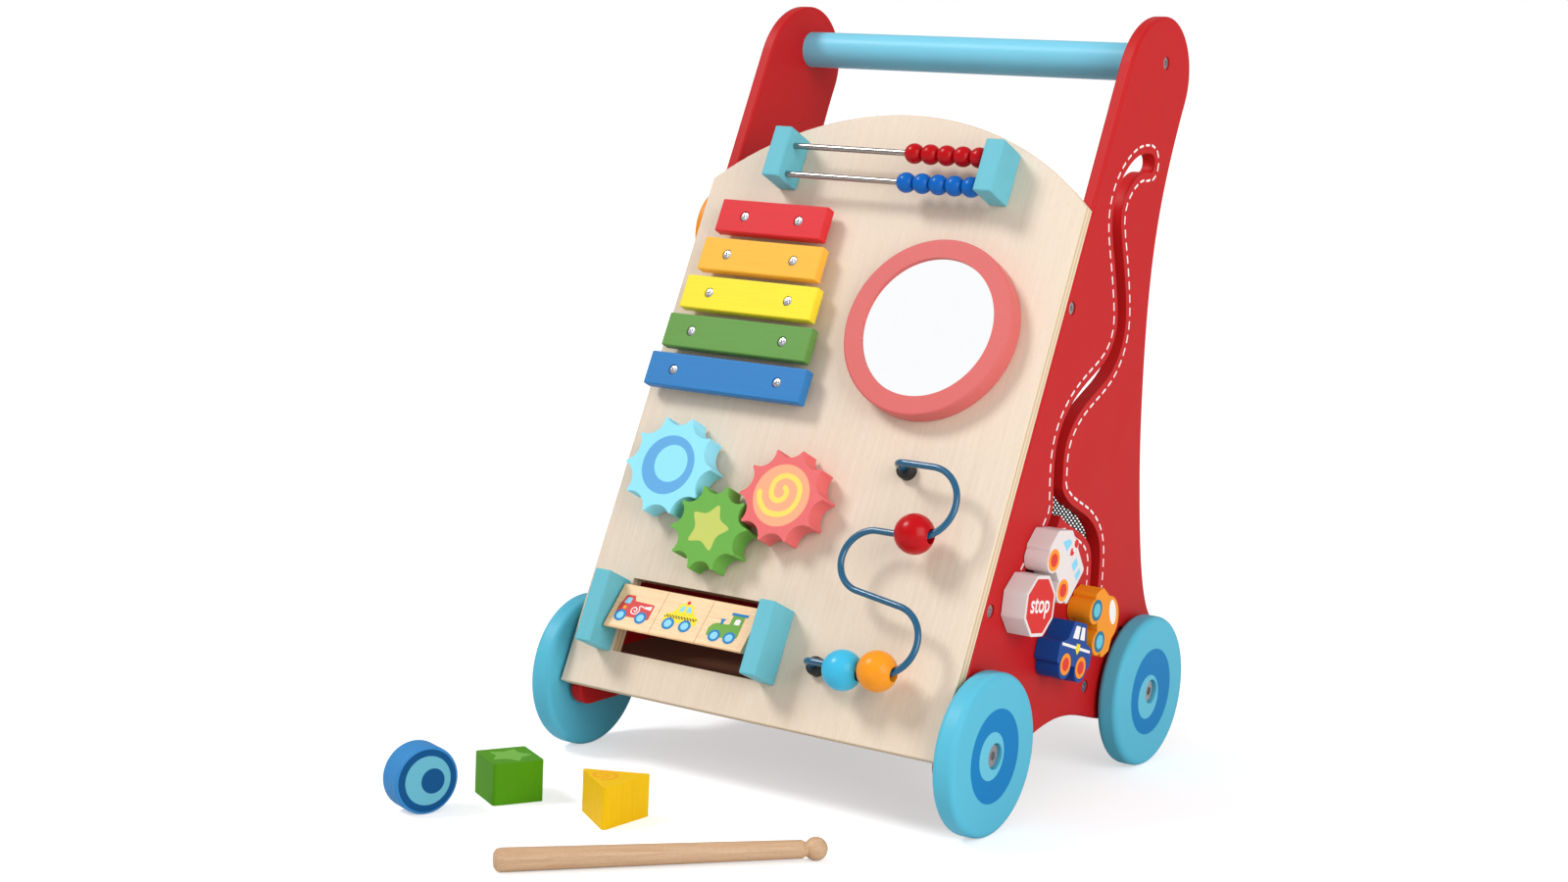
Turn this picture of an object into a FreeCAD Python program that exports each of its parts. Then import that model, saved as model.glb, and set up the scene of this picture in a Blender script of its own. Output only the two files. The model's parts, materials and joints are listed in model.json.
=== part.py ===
import FreeCAD, Part
import math
import os

# Wooden baby walker with an activity board, built in millimetres.
# +Z is up, -Y is the side of the activity board and +Y is where the child pushes.
# The origin lies on the floor, midway between the four wheels.

Vector = FreeCAD.Vector

# ---------------------------------------------------------------- driving sizes
frame_width = 282.0          # over the outer faces of the two side panels
wheelbase = 211.0            # front axle to rear axle
panel_thickness = 9.0
board_thickness = 9.4
board_length = 354.0         # along the slope, from the bottom edge to the shoulders
board_crown = 54.0           # how far the arched top rises over the shoulders
board_tilt = 24.75           # degrees back from upright
board_foot_forward = 39.9    # bottom front edge of the board, ahead of the front axle
board_foot_height = 51.4     # the same edge, above the floor

handle_back = 208.4          # handle centre, behind the front axle
handle_height = 462.0        # handle centre, above the floor
handle_radius = 12.2

wheel_radius = 50.0
wheel_width = 15.0
wheel_edge_radius = 4.0
wheel_gap = 2.3              # washer and play between a wheel and its panel
axle_radius = 5.0
axle_head_radius = 6.8
axle_head_height = 3.5
hub_recess_radius = 8.0
hub_recess_depth = 5.5
washer_radius = 11.0
washer_thickness = 2.0
nut_radius = 7.2             # over its corners, under the shelf
nut_thickness = 4.0

# ---------------------------------------------------------------- clearances
running_fit = 0.08           # radial play of a turning part on its pin
thread_fit = 0.05            # radial play of a fixed screw in its hole
body_gap = 0.4               # between parts that move past each other
sliding_play = 0.9           # radial play of a bead on its rod

# ---------------------------------------------------------------- side panels
panel_edge_round = 1.8
toe_radius = 12.0
toe_drop = 15.0              # the toe's flat, below the board's bottom edge
arch_rise = 15.2             # how far the arch between the wheels lifts
arch_middle = 112.0          # highest place of the arch, behind the front axle
heel_radius = 30.0
heel_back = 13.0             # centre of the heel's round, behind the rear axle
heel_height = 62.5
lobe_radius = 38.0           # round lobe over the handle
lobe_height = 29.5           # top of the lobe, above the handle centre
brow_radius = 52.6           # larger round in front of the lobe
waist_back = 205.6           # narrowest place of the rear edge, behind the front axle
waist_height = 262.0

# ---------------------------------------------------------------- road slot
slot_width = 12.2
road_main = [(195, 398), (165, 389.5), (151.6, 368), (156.3, 343.5), (165, 314), (166.6, 291),
             (156, 273), (132, 259), (107, 243.5), (94.8, 226), (93, 206), (94.5, 190)]
road_right = [(94.5, 194), (104.5, 184), (122, 175), (140, 165.6), (150, 153.5), (152, 138),
              (150, 119), (138, 104.5), (121, 99), (101, 98)]
road_left = [(94.5, 194), (94, 184), (87, 172.5), (76.2, 162.1), (66.6, 152.8), (57, 143.6), (47.4, 134.3)]
vehicle_thickness = 16.0
vehicle_gap = 0.6            # between a vehicle and the panel
peg_radius = 4.5
peg_disc_radius = 11.0
peg_disc_thickness = 4.0
peg_depth = 9.0              # how far a peg reaches into its vehicle

# ---------------------------------------------------------------- frame parts behind the board
rail_depth = 15.0
rail_height = 24.0
rail_places = (97.3, 292.7)  # along the board, from its bottom edge
shelf_thickness = 9.0
shelf_height = 62.0          # middle of the shelf
shelf_front = -12.0          # from the front axle
shelf_back = 190.0
shelf_screws = (22.0, 147.9)
rear_rail_thickness = 9.0
rear_rail_top = 105.0
net_thickness = 2.4
net_top = 232.0
net_bulge = 9.0
hem_radius = 4.5
screw_head_radius = 3.9
screw_head_height = 2.4
screw_recess_radius = 4.3
screw_recess_depth = 3.2
screw_shank_radius = 2.1
screw_length = 30.0

# ---------------------------------------------------------------- abacus
abacus_block = (13.4, 35.4, 25.0)     # width, length along the board, height
abacus_block_edge = 55.5              # outer side of a block, from the board's side
abacus_block_foot = 349.0
abacus_rows = (354.2, 374.3)
abacus_rod_height = 16.0
abacus_rod_radius = 2.0
abacus_bead_radius = 6.6
abacus_bead_width = 11.6
beads_in_row = 5

# ---------------------------------------------------------------- xylophone
bar_width = 23.0
bar_thickness = 8.0
bar_standoff = 5.0
bar_pitch = 27.6
bar_lengths = (123.2, 113.2, 103.4, 93.6, 83.8)    # lowest bar first
bar_names = ("blue", "green", "yellow", "orange", "red")
bar_first = 212.8                     # middle of the lowest bar
bar_axis = 65.0                       # from the board's left side
bar_screw_inset = 20.6                # screw to the end of the bar
bar_screw_radius = 1.75
bar_screw_head_radius = 3.2
bar_screw_head_height = 1.8
bar_screw_bite = 6.5                  # depth in the board
spacer_radius = 4.5

# ---------------------------------------------------------------- mirror
mirror_axis = 79.3                    # from the board's right side
mirror_height = 261.2
mirror_ring_radius = 58.5
mirror_radius = 46.0
mirror_ring_thickness = 13.3
mirror_recess = 4.0
mirror_thickness = 2.2

# ---------------------------------------------------------------- gears
gear_teeth = 10
gear_thickness = 15.0
gear_standoff = 2.5
gear_pin_radius = 4.0
gear_pin_head_radius = 6.0
gear_pin_head_height = 2.0
tip_round = 1.1                       # half width of a tooth's rounded tip
gears = {                             # from the board's left side, height, root, tip, turn
    "blue": (46.0, 147.8, 27.0, 33.4, 2.6),
    "green": (90.2, 111.6, 22.2, 28.6, 5.4),
    "red": (136.8, 139.5, 24.8, 31.0, 4.2),
}

# ---------------------------------------------------------------- picture roller
window_left = 33.0                    # from the board's left side
window_width = 113.5
window_foot = 25.3
window_height = 49.0
roller_block = (11.8, 47.8, 25.0)     # width, length along the board, height
roller_block_gap = 1.2                # window to block
roller_axis = 50.1
roller_lift = 3.5                     # rod centre in front of the board's face
roller_rod_radius = 2.5
picture_side = 34.1                   # side of the triangular picture blocks
picture_length = 35.3
picture_turn = 18.4                   # degrees that the pictures lean back from the board
picture_corner = 1.0

# ---------------------------------------------------------------- bead wire
wire_radius = 2.1
wire_height = 20.0                    # wire centre in front of the board's face
wire_corner = 8.0
wire_bite = 5.0                       # depth in the board
maze_top_turn = (43.5, 148.8, 22.2)   # from the right side, height, radius
maze_middle_turn = (69.0, 19.3)       # from the right side, radius
maze_bottom_turn = (43.0, 62.3, 21.3)
maze_top_end = 71.5                   # from the right side
maze_bottom_end = 95.7
cap_radius = 6.0
cap_height = 7.0
maze_bead_radius = 12.5
maze_bead_width = 23.0                # between the flats round its hole
maze_bead_bore = 4.6
maze_bead_inset = 1.75                # bead centre inside the wire's turn
red_bead_angle = -90.0                # on the top turn, degrees
orange_bead_angle = -90.0            # on the bottom turn, degrees

# ---------------------------------------------------------------- left side
dial_back = 130.0                     # from the front axle
dial_height = 335.0
dial_radius = 30.0
dial_thickness = 8.0
round_hole = (150.0, 262.0)           # behind the front axle, height
square_hole = (96.0, 196.0)
triangle_hole = (160.0, 150.0)
sorter_play = 1.2
round_block_radius = 20.8
round_block_thickness = 18.0
square_block_side = 32.5
triangle_block_side = 43.0
block_thickness = 26.0
block_edge_round = 1.6

# ---------------------------------------------------------------- loose pieces on the floor
round_block_place = (-136.1, -288.9, 69.6)       # x, y, turn about Z in degrees
square_block_place = (-107.4, -234.3, 61.4)
triangle_block_place = (-32.6, -227.9, 116.0)
mallet_length = 192.0
mallet_grip_radius = 6.9
mallet_neck_radius = 5.4
mallet_ball_radius = 6.9
mallet_foot = (-20.9, -348.9)
mallet_turn = 48.0

# ---------------------------------------------------------------- worked out from the above
half_width = frame_width / 2
inner_half = half_width - panel_thickness
front_axle = -wheelbase / 2
rear_axle = wheelbase / 2
wheel_inner = half_width + wheel_gap
lobe_top = handle_height + lobe_height
tilt = math.radians(board_tilt)
board_frame = FreeCAD.Placement(
    Vector(0, front_axle - board_foot_forward, board_foot_height),
    FreeCAD.Rotation(Vector(1, 0, 0), 90 - board_tilt))


# ================================================================ helpers
def on_board(shape):
    """Moves a shape from board axes (across, up the slope, out of the face) to its place."""
    moved = shape.copy()
    moved.Placement = board_frame.multiply(moved.Placement)
    return moved


def board_point(across, up, out=0.0):
    return board_frame.multVec(Vector(across, up, out))


def side_point(x, back, height):
    """A place on a side panel: back is measured behind the front axle."""
    return Vector(x, front_axle + back, height)


def write(name, solids):
    """Writes one node. Several solids stay separate inside it."""
    solids = solids if isinstance(solids, list) else [solids]
    flat = [solid for shape in solids for solid in shape.Solids]
    shape = flat[0] if len(flat) == 1 else Part.makeCompound(flat)
    shape.exportStep(os.path.join("parts", name + ".step"))


def box(corner, size):
    return Part.makeBox(size[0], size[1], size[2], Vector(*corner))


def soft_box(corner, size, radius):
    body = box(corner, size)
    return body.makeFillet(radius, body.Edges)


def rod_x(x0, x1, y, z, radius):
    return Part.makeCylinder(radius, x1 - x0, Vector(x0, y, z), Vector(1, 0, 0))


def turned(outline):
    """Turns a closed outline of (radius, height) points about the Z axis."""
    points = [Vector(r, 0, h) for r, h in outline]
    wire = Part.makePolygon(points + [points[0]])
    return Part.Face(wire).revolve(Vector(0, 0, 0), Vector(0, 0, 1), 360)


def rounded_disc(radius, thickness, edge):
    """A disc on the XY plane with both rims rounded."""
    slant = edge * (1 - math.sqrt(0.5))
    points = [
        Vector(0, 0, 0), Vector(radius - edge, 0, 0), Vector(radius - slant, 0, slant),
        Vector(radius, 0, edge), Vector(radius, 0, thickness - edge),
        Vector(radius - slant, 0, thickness - slant), Vector(radius - edge, 0, thickness),
        Vector(0, 0, thickness)]
    edges = [
        Part.makeLine(points[0], points[1]),
        Part.Arc(points[1], points[2], points[3]).toShape(),
        Part.makeLine(points[3], points[4]),
        Part.Arc(points[4], points[5], points[6]).toShape(),
        Part.makeLine(points[6], points[7]),
        Part.makeLine(points[7], points[0])]
    return Part.Face(Part.Wire(edges)).revolve(Vector(0, 0, 0), Vector(0, 0, 1), 360)


def aim(shape, place, direction):
    """Puts a shape built along +Z at a place, looking along a direction."""
    moved = shape.copy()
    turn = FreeCAD.Rotation(Vector(0, 0, 1), direction)
    moved.Placement = FreeCAD.Placement(place, turn).multiply(moved.Placement)
    return moved


def spline(points, start=None, end=None):
    curve = Part.BSplineCurve()
    if start and end:
        curve.interpolate(Points=points, InitialTangent=start, FinalTangent=end)
    else:
        curve.interpolate(points)
    return curve


# ================================================================ side panels
def panel_outline(x):
    """The panel's outline on the plane at x."""
    foot = board_point(0, 0, -board_thickness)
    slope = Vector(0, math.sin(tilt), math.cos(tilt))
    toe_flat = board_foot_height - toe_drop - 4.0
    heel = Vector(0, rear_axle + heel_back, heel_height)
    lobe = Vector(0, front_axle + handle_back - 1.4, lobe_top - lobe_radius)

    # front: the round of the brow starts where it is tangent to the board's slope
    brow_top = lobe + Vector(0, 0, lobe_radius)
    turn = math.pi / 2 - tilt
    reach = Vector(0, brow_radius * math.sin(turn), brow_radius * (1 - math.cos(turn)))
    brow_drop = reach.z
    rise = lobe_top - brow_drop - foot.z
    brow_start = foot + slope * (rise / slope.z)
    brow_end = brow_start + reach
    brow_centre = brow_end - Vector(0, 0, brow_radius)
    half = tilt + turn / 2
    brow_mid = brow_centre + Vector(0, -math.cos(half), math.sin(half)) * brow_radius
    lobe = Vector(0, brow_end.y, lobe.z)

    # rear: lobe, waist and heel
    leave = math.radians(-25)
    lobe_end = lobe + Vector(0, math.cos(leave), math.sin(leave)) * lobe_radius
    down = Vector(0, math.sin(leave), -math.cos(leave))
    lobe_side = lobe + Vector(0, math.cos(0.5), math.sin(0.5)) * lobe_radius
    waist = Vector(0, front_axle + waist_back, waist_height)
    heel_side = heel + Vector(0, heel_radius, 0)
    upper = Vector(0, waist.y + 7.0, waist.z + 96)
    lower = Vector(0, waist.y + 10.4, waist.z - 104)
    flare = Vector(0, (lower.y + heel_side.y) / 2 + 3.5, (lower.z + heel_side.z) / 2 - 14)
    rear = spline([lobe_end, upper, waist, lower, flare, heel_side], down * 60, Vector(0, 0, -60))

    # bottom: heel, arch and toe
    heel_down = heel + Vector(0, 0, -heel_radius)
    heel_mid = heel + Vector(0, math.sqrt(0.5), -math.sqrt(0.5)) * heel_radius
    toe = Vector(0, foot.y + toe_radius * 1.15, toe_flat + toe_radius)
    toe_down = toe + Vector(0, 0, -toe_radius)
    arch_top = Vector(0, front_axle + arch_middle, toe_flat + arch_rise)
    flat = Vector(0, -60, 0)
    arch_ends = (Vector(0, rear_axle - 12, heel_down.z), Vector(0, front_axle + 22, toe_flat))
    arch_back = spline([arch_ends[0], arch_top], flat, flat)
    arch_front = spline([arch_top, arch_ends[1]], flat, flat)
    toe_front = toe + Vector(0, -math.cos(tilt), math.sin(tilt)) * toe_radius
    toe_mid = toe + Vector(0, -math.cos(0.55), -math.sin(0.55)) * toe_radius

    edges = [
        Part.makeLine(toe_front, brow_start),
        Part.Arc(brow_start, brow_mid, brow_end).toShape(),
        Part.Arc(brow_end, lobe_side, lobe_end).toShape(),
        rear.toShape(),
        Part.Arc(heel_side, heel_mid, heel_down).toShape(),
        Part.makeLine(heel_down, arch_ends[0]),
        arch_back.toShape(),
        arch_front.toShape(),
        Part.makeLine(arch_ends[1], toe_down),
        Part.Arc(toe_down, toe_mid, toe_front).toShape()]
    wire = Part.Wire(edges)
    wire.translate(Vector(x, 0, 0))
    return wire


def panel_blank(x0):
    blank = Part.Face(panel_outline(x0)).extrude(Vector(panel_thickness, 0, 0))
    rims = [edge for edge in blank.Edges
            if abs(edge.BoundBox.XLength) < 1e-6]
    return blank.makeFillet(panel_edge_round, rims)


def panel_screw_places():
    """Each frame screw: behind the front axle and height."""
    places = [(handle_back, handle_height)]
    for up in rail_places:
        middle = board_point(0, up, -board_thickness - rail_depth / 2)
        places.append((middle.y - front_axle, middle.z))
    places += [(back, shelf_height) for back in shelf_screws]
    places.append((shelf_back + rear_rail_thickness / 2, shelf_height + 28))
    return places


def panel_drillings(side):
    """Holes and recesses for the screws and axles of one side (-1 left, +1 right)."""
    cuts = []
    low = min(side * inner_half, side * half_width) - 1
    high = max(side * inner_half, side * half_width) + 1
    for back, height in panel_screw_places():
        y = front_axle + back
        cuts.append(rod_x(low, high, y, height, screw_shank_radius + thread_fit))
        face = side * half_width
        inward = face - side * screw_recess_depth
        cuts.append(rod_x(min(face, inward), max(face, inward), y, height, screw_recess_radius))
    for y in (front_axle, rear_axle):
        cuts.append(rod_x(low, high, y, wheel_radius, axle_radius + thread_fit))
    return cuts


def road_shape(points, x0, x1):
    """A round-ended slot of constant width along a smooth path of (back, height) points."""
    path = spline([side_point(x0, back, height) for back, height in points])
    steps = 5 * len(points)
    left = []
    right = []
    for step in range(steps + 1):
        at = path.FirstParameter + (path.LastParameter - path.FirstParameter) * step / steps
        along = path.tangent(at)[0]
        side = Vector(0, -along.z, along.y) * (slot_width / 2)
        left.append(path.value(at) + side)
        right.append(path.value(at) - side)
    ends = []
    for place, at, sign in ((path.value(path.FirstParameter), path.FirstParameter, -1),
                            (path.value(path.LastParameter), path.LastParameter, 1)):
        ends.append(place + path.tangent(at)[0] * (sign * slot_width / 2))
    edges = [
        spline(left).toShape(),
        Part.Arc(left[-1], ends[1], right[-1]).toShape(),
        spline(right[::-1]).toShape(),
        Part.Arc(right[0], ends[0], left[0]).toShape()]
    return Part.Face(Part.Wire(edges)).extrude(Vector(x1 - x0, 0, 0))


def right_panel():
    panel = panel_blank(inner_half).cut(panel_drillings(1))
    for road in (road_main, road_right, road_left):
        panel = panel.cut(road_shape(road, inner_half - 1, half_width + 1))
    write("right_panel", panel)


def sorter_shape(kind, grow, length):
    """The round, square or triangular shape on the YZ plane, grown on all sides."""
    if kind == "round":
        return Part.makeCylinder(round_block_radius + grow, length, Vector(0, 0, 0), Vector(1, 0, 0))
    corners = 4 if kind == "square" else 3
    side = square_block_side if kind == "square" else triangle_block_side
    reach = (side / 2 / math.tan(math.pi / corners) + grow) / math.cos(math.pi / corners)
    start = math.pi / 4 if kind == "square" else math.pi / 2
    points = []
    for corner in range(corners + 1):
        at = start + 2 * math.pi * corner / corners
        points.append(Vector(0, reach * math.cos(at), reach * math.sin(at)))
    prism = Part.Face(Part.makePolygon(points)).extrude(Vector(length, 0, 0))
    uprights = [edge for edge in prism.Edges if abs(edge.BoundBox.XLength - length) < 1e-6]
    return prism.makeFillet(block_edge_round, uprights)


def left_panel():
    cuts = panel_drillings(-1)
    for kind, place in (("round", round_hole), ("square", square_hole), ("triangle", triangle_hole)):
        hole = sorter_shape(kind, sorter_play, panel_thickness + 2)
        hole.translate(side_point(-half_width - 1, *place))
        cuts.append(hole)
    cuts.append(dial_pin_hole())
    write("left_panel", panel_blank(-half_width).cut(cuts))


# ================================================================ frame
def handle_bar():
    y = front_axle + handle_back
    bar = rod_x(-inner_half, inner_half, y, handle_height, handle_radius)
    write("handle_bar", bar.cut(screw_holes()))


def cross_rails():
    rails = []
    for up in rail_places:
        rail = box((-inner_half, up - rail_height / 2, -board_thickness - rail_depth),
                   (2 * inner_half, rail_height, rail_depth))
        rails.append(on_board(rail).cut(screw_holes()))
    write("cross_rails", rails)


def bottom_shelf():
    y0 = front_axle + shelf_front
    y1 = front_axle + shelf_back
    shelf = box((-inner_half, y0, shelf_height - shelf_thickness / 2),
                (2 * inner_half, y1 - y0, shelf_thickness))
    write("bottom_shelf", shelf.cut(screw_holes()))


def rear_rail():
    foot = shelf_height - shelf_thickness / 2
    rail = box((-inner_half, front_axle + shelf_back, foot),
               (2 * inner_half, rear_rail_thickness, rear_rail_top - foot))
    write("rear_rail", rail.cut(screw_holes()))


def storage_net():
    """A fabric wall over the rear rail, bulging back, with a thick hem at its top."""
    y = front_axle + shelf_back + rear_rail_thickness / 2
    middle = (rear_rail_top + net_top) / 2
    outlines = []
    for shift in (-net_thickness / 2, net_thickness / 2):
        outlines.append([Vector(-inner_half, y + shift, rear_rail_top),
                         Vector(-inner_half, y + net_bulge + shift, middle),
                         Vector(-inner_half, y + shift, net_top)])
    front, back = outlines
    edges = [
        Part.Arc(*front).toShape(),
        Part.makeLine(front[2], back[2]),
        Part.Arc(*back[::-1]).toShape(),
        Part.makeLine(back[0], front[0])]
    wall = Part.Face(Part.Wire(edges)).extrude(Vector(2 * inner_half, 0, 0))
    hem = rod_x(-inner_half, inner_half, y, net_top, hem_radius)
    write("storage_net", wall.fuse(hem).removeSplitter())


def frame_screw_shape(play=0.0):
    """A screw along +Z with its head at the bottom; play grows the shank."""
    head = Part.makeCylinder(screw_head_radius, screw_head_height)
    shank = Part.makeCylinder(screw_shank_radius + play, screw_length)
    return head, shank


def frame_screw_frames():
    """Where each frame screw's head starts, and the way its tip points."""
    frames = []
    depth = screw_recess_depth
    for side in (-1, 1):
        for back, height in panel_screw_places():
            frames.append((side_point(side * (half_width - depth + screw_head_height), back, height),
                           Vector(-side, 0, 0)))
    return frames


def screw_holes():
    return [aim(frame_screw_shape(thread_fit)[1], *place) for place in frame_screw_frames()]


def frame_screws():
    screws = []
    for place in frame_screw_frames():
        head, shank = frame_screw_shape()
        drive = Part.makeCylinder(1.6, 1.2)
        screws.append(aim(head.fuse(shank).removeSplitter().cut(drive), *place))
    write("frame_screws", screws)


# ================================================================ wheels
def wheel_shape():
    """A wheel along +Z, outer face at the top, bored and recessed for its bolt."""
    blank = rounded_disc(wheel_radius, wheel_width, wheel_edge_radius)
    bore = Part.makeCylinder(axle_radius + running_fit, wheel_width)
    recess = Part.makeCylinder(hub_recess_radius, hub_recess_depth,
                               Vector(0, 0, wheel_width - hub_recess_depth))
    return blank.cut([bore, recess])


def wheel_places():
    places = {}
    for side, side_name in ((-1, "left"), (1, "right")):
        for y, end_name in ((front_axle, "front"), (rear_axle, "rear")):
            places[f"wheel_{end_name}_{side_name}"] = (side, y)
    return places


def wheels():
    for name, (side, y) in wheel_places().items():
        place = Vector(side * wheel_inner, y, wheel_radius)
        write(name, aim(wheel_shape(), place, Vector(side, 0, 0)))


def wheel_bolts():
    """Each axle bolt with its nut on the panel's inner face."""
    pieces = []
    head_seat = wheel_inner + wheel_width - hub_recess_depth + body_gap
    tip = inner_half - nut_thickness - 1.5
    for side, y in wheel_places().values():
        shank = Part.makeCylinder(axle_radius, head_seat - tip)
        head = Part.makeCylinder(axle_head_radius, axle_head_height, Vector(0, 0, head_seat - tip))
        socket = hexagon(3.0, 2.2)
        socket.translate(Vector(0, 0, head_seat - tip + axle_head_height - 2.2))
        bolt = shank.fuse(head).removeSplitter().cut(socket)
        pieces.append(aim(bolt, Vector(side * tip, y, wheel_radius), Vector(side, 0, 0)))
        nut = hexagon(nut_radius, nut_thickness).cut(
            Part.makeCylinder(axle_radius + thread_fit, nut_thickness))
        place = Vector(side * (inner_half - nut_thickness), y, wheel_radius)
        pieces.append(aim(nut, place, Vector(side, 0, 0)))
    write("wheel_bolts", pieces)


def hexagon(radius, height):
    points = []
    for corner in range(7):
        at = math.pi * corner / 3
        points.append(Vector(radius * math.cos(at), radius * math.sin(at), 0))
    return Part.Face(Part.makePolygon(points)).extrude(Vector(0, 0, height))


def wheel_washers():
    rings = []
    for side, y in wheel_places().values():
        ring = Part.makeCylinder(washer_radius, washer_thickness).cut(
            Part.makeCylinder(axle_radius + thread_fit, washer_thickness))
        rings.append(aim(ring, Vector(side * half_width, y, wheel_radius), Vector(side, 0, 0)))
    write("wheel_washers", rings)


# ================================================================ activity board
def activity_board():
    crown_mid = Vector(0, board_length + board_crown, -board_thickness)
    left = Vector(-half_width, board_length, -board_thickness)
    right = Vector(half_width, board_length, -board_thickness)
    edges = [
        Part.makeLine(Vector(-half_width, 0, -board_thickness), Vector(half_width, 0, -board_thickness)),
        Part.makeLine(Vector(half_width, 0, -board_thickness), right),
        Part.Arc(right, crown_mid, left).toShape(),
        Part.makeLine(left, Vector(-half_width, 0, -board_thickness))]
    blank = Part.Face(Part.Wire(edges)).extrude(Vector(0, 0, board_thickness))
    rims = [edge for edge in blank.Edges if abs(edge.BoundBox.ZLength) < 1e-6]
    blank = blank.makeFillet(0.8, rims)
    cuts = [box((-half_width + window_left, window_foot, -board_thickness - 1),
                (window_width, window_height, board_thickness + 2))]
    for across, up in wire_ends():
        cuts.append(Part.makeCylinder(wire_radius + thread_fit, wire_bite, Vector(across, up, -wire_bite)))
    for across, up in bar_screw_places():
        cuts.append(Part.makeCylinder(bar_screw_radius + thread_fit, bar_screw_bite,
                                      Vector(across, up, -bar_screw_bite)))
    for name in gears:
        across, up = gear_place(name)
        cuts.append(Part.makeCylinder(gear_pin_radius + thread_fit, wire_bite, Vector(across, up, -wire_bite)))
    write("activity_board", on_board(blank.cut(cuts)))


# ---------------------------------------------------------------- abacus
def abacus_block_sides():
    """Left sides of the two blocks, across the board."""
    return (-half_width + abacus_block_edge, half_width - abacus_block_edge + 1.6 - abacus_block[0])


def abacus_rods_cut(radius):
    left, right = abacus_block_sides()
    start = left + 4
    end = right + abacus_block[0] - 4
    return [rod_x(start, end, up, abacus_rod_height, radius) for up in abacus_rows]


def abacus():
    blocks = []
    for left in abacus_block_sides():
        block = soft_box((left, abacus_block_foot, 0), abacus_block, 1.2)
        blocks.append(on_board(block.cut(abacus_rods_cut(abacus_rod_radius + thread_fit))))
    write("abacus_blocks", blocks)
    write("abacus_rods", [on_board(rod) for rod in abacus_rods_cut(abacus_rod_radius)])


def round_bead(radius, width, bore):
    """A ball along X with a hole through it and a small flat round each end of the hole."""
    rim = math.sqrt(radius ** 2 - width ** 2 / 4)
    left, right = Vector(-width / 2, rim, 0), Vector(width / 2, rim, 0)
    near, far = Vector(width / 2, bore, 0), Vector(-width / 2, bore, 0)
    outline = [Part.Arc(left, Vector(0, radius, 0), right).toShape(), Part.makeLine(right, near),
               Part.makeLine(near, far), Part.makeLine(far, left)]
    return Part.Face(Part.Wire(outline)).revolve(Vector(0, 0, 0), Vector(1, 0, 0), 360)


def abacus_bead_places(row):
    """Beads of a row from left to right, pushed against the right block."""
    right = abacus_block_sides()[1]
    pitch = abacus_bead_width + 0.3
    first = right - body_gap - abacus_bead_width / 2 - (beads_in_row - 1) * pitch
    return [(first + pitch * place, abacus_rows[row]) for place in range(beads_in_row)]


def abacus_beads():
    for row, name in enumerate(("blue", "red")):
        for number, (across, up) in enumerate(abacus_bead_places(row), start=1):
            bead = round_bead(abacus_bead_radius, abacus_bead_width, abacus_rod_radius + sliding_play)
            bead.translate(Vector(across, up, abacus_rod_height))
            write(f"abacus_bead_{name}_{number}", on_board(bead))


# ---------------------------------------------------------------- xylophone
def bar_screw_places():
    places = []
    for row, length in enumerate(bar_lengths):
        for side in (-1, 1):
            across = -half_width + bar_axis + side * (length / 2 - bar_screw_inset)
            places.append((across, bar_first + row * bar_pitch))
    return places


def xylophone():
    top = bar_standoff + bar_thickness
    seat = top - bar_screw_head_height - 0.6
    for row, (name, length) in enumerate(zip(bar_names, bar_lengths)):
        up = bar_first + row * bar_pitch
        left = -half_width + bar_axis - length / 2
        bar = soft_box((left, up - bar_width / 2, bar_standoff), (length, bar_width, bar_thickness), 1.0)
        cuts = []
        for across, height in bar_screw_places()[2 * row:2 * row + 2]:
            cuts.append(Part.makeCylinder(bar_screw_radius + thread_fit, top, Vector(across, height, 0)))
            cuts.append(Part.makeCylinder(bar_screw_head_radius + 0.3, top, Vector(across, height, seat)))
        write(f"xylophone_bar_{name}", on_board(bar.cut(cuts)))
    screws = []
    spacers = []
    for across, up in bar_screw_places():
        shank = Part.makeCylinder(bar_screw_radius, seat + bar_screw_bite, Vector(across, up, -bar_screw_bite))
        head = Part.makeCylinder(bar_screw_head_radius, bar_screw_head_height, Vector(across, up, seat))
        screws.append(on_board(shank.fuse(head).removeSplitter()))
        spacer = Part.makeCylinder(spacer_radius, bar_standoff, Vector(across, up, 0)).cut(
            Part.makeCylinder(bar_screw_radius + thread_fit, bar_standoff, Vector(across, up, 0)))
        spacers.append(on_board(spacer))
    write("xylophone_screws", screws)
    write("xylophone_spacers", spacers)


# ---------------------------------------------------------------- mirror
def mirror():
    centre = Vector(half_width - mirror_axis, mirror_height, 0)
    floor = mirror_ring_thickness - mirror_recess
    ring = rounded_disc(mirror_ring_radius, mirror_ring_thickness, 1.4)
    recess = Part.makeCylinder(mirror_radius, mirror_recess, Vector(0, 0, floor))
    ring = ring.cut(recess)
    glass = Part.makeCylinder(mirror_radius - thread_fit, mirror_thickness, Vector(0, 0, floor))
    for name, shape in (("mirror_ring", ring), ("mirror", glass)):
        shape.translate(centre)
        write(name, on_board(shape))


# ---------------------------------------------------------------- gears
def gear_place(name):
    return (-half_width + gears[name][0], gears[name][1])


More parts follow.
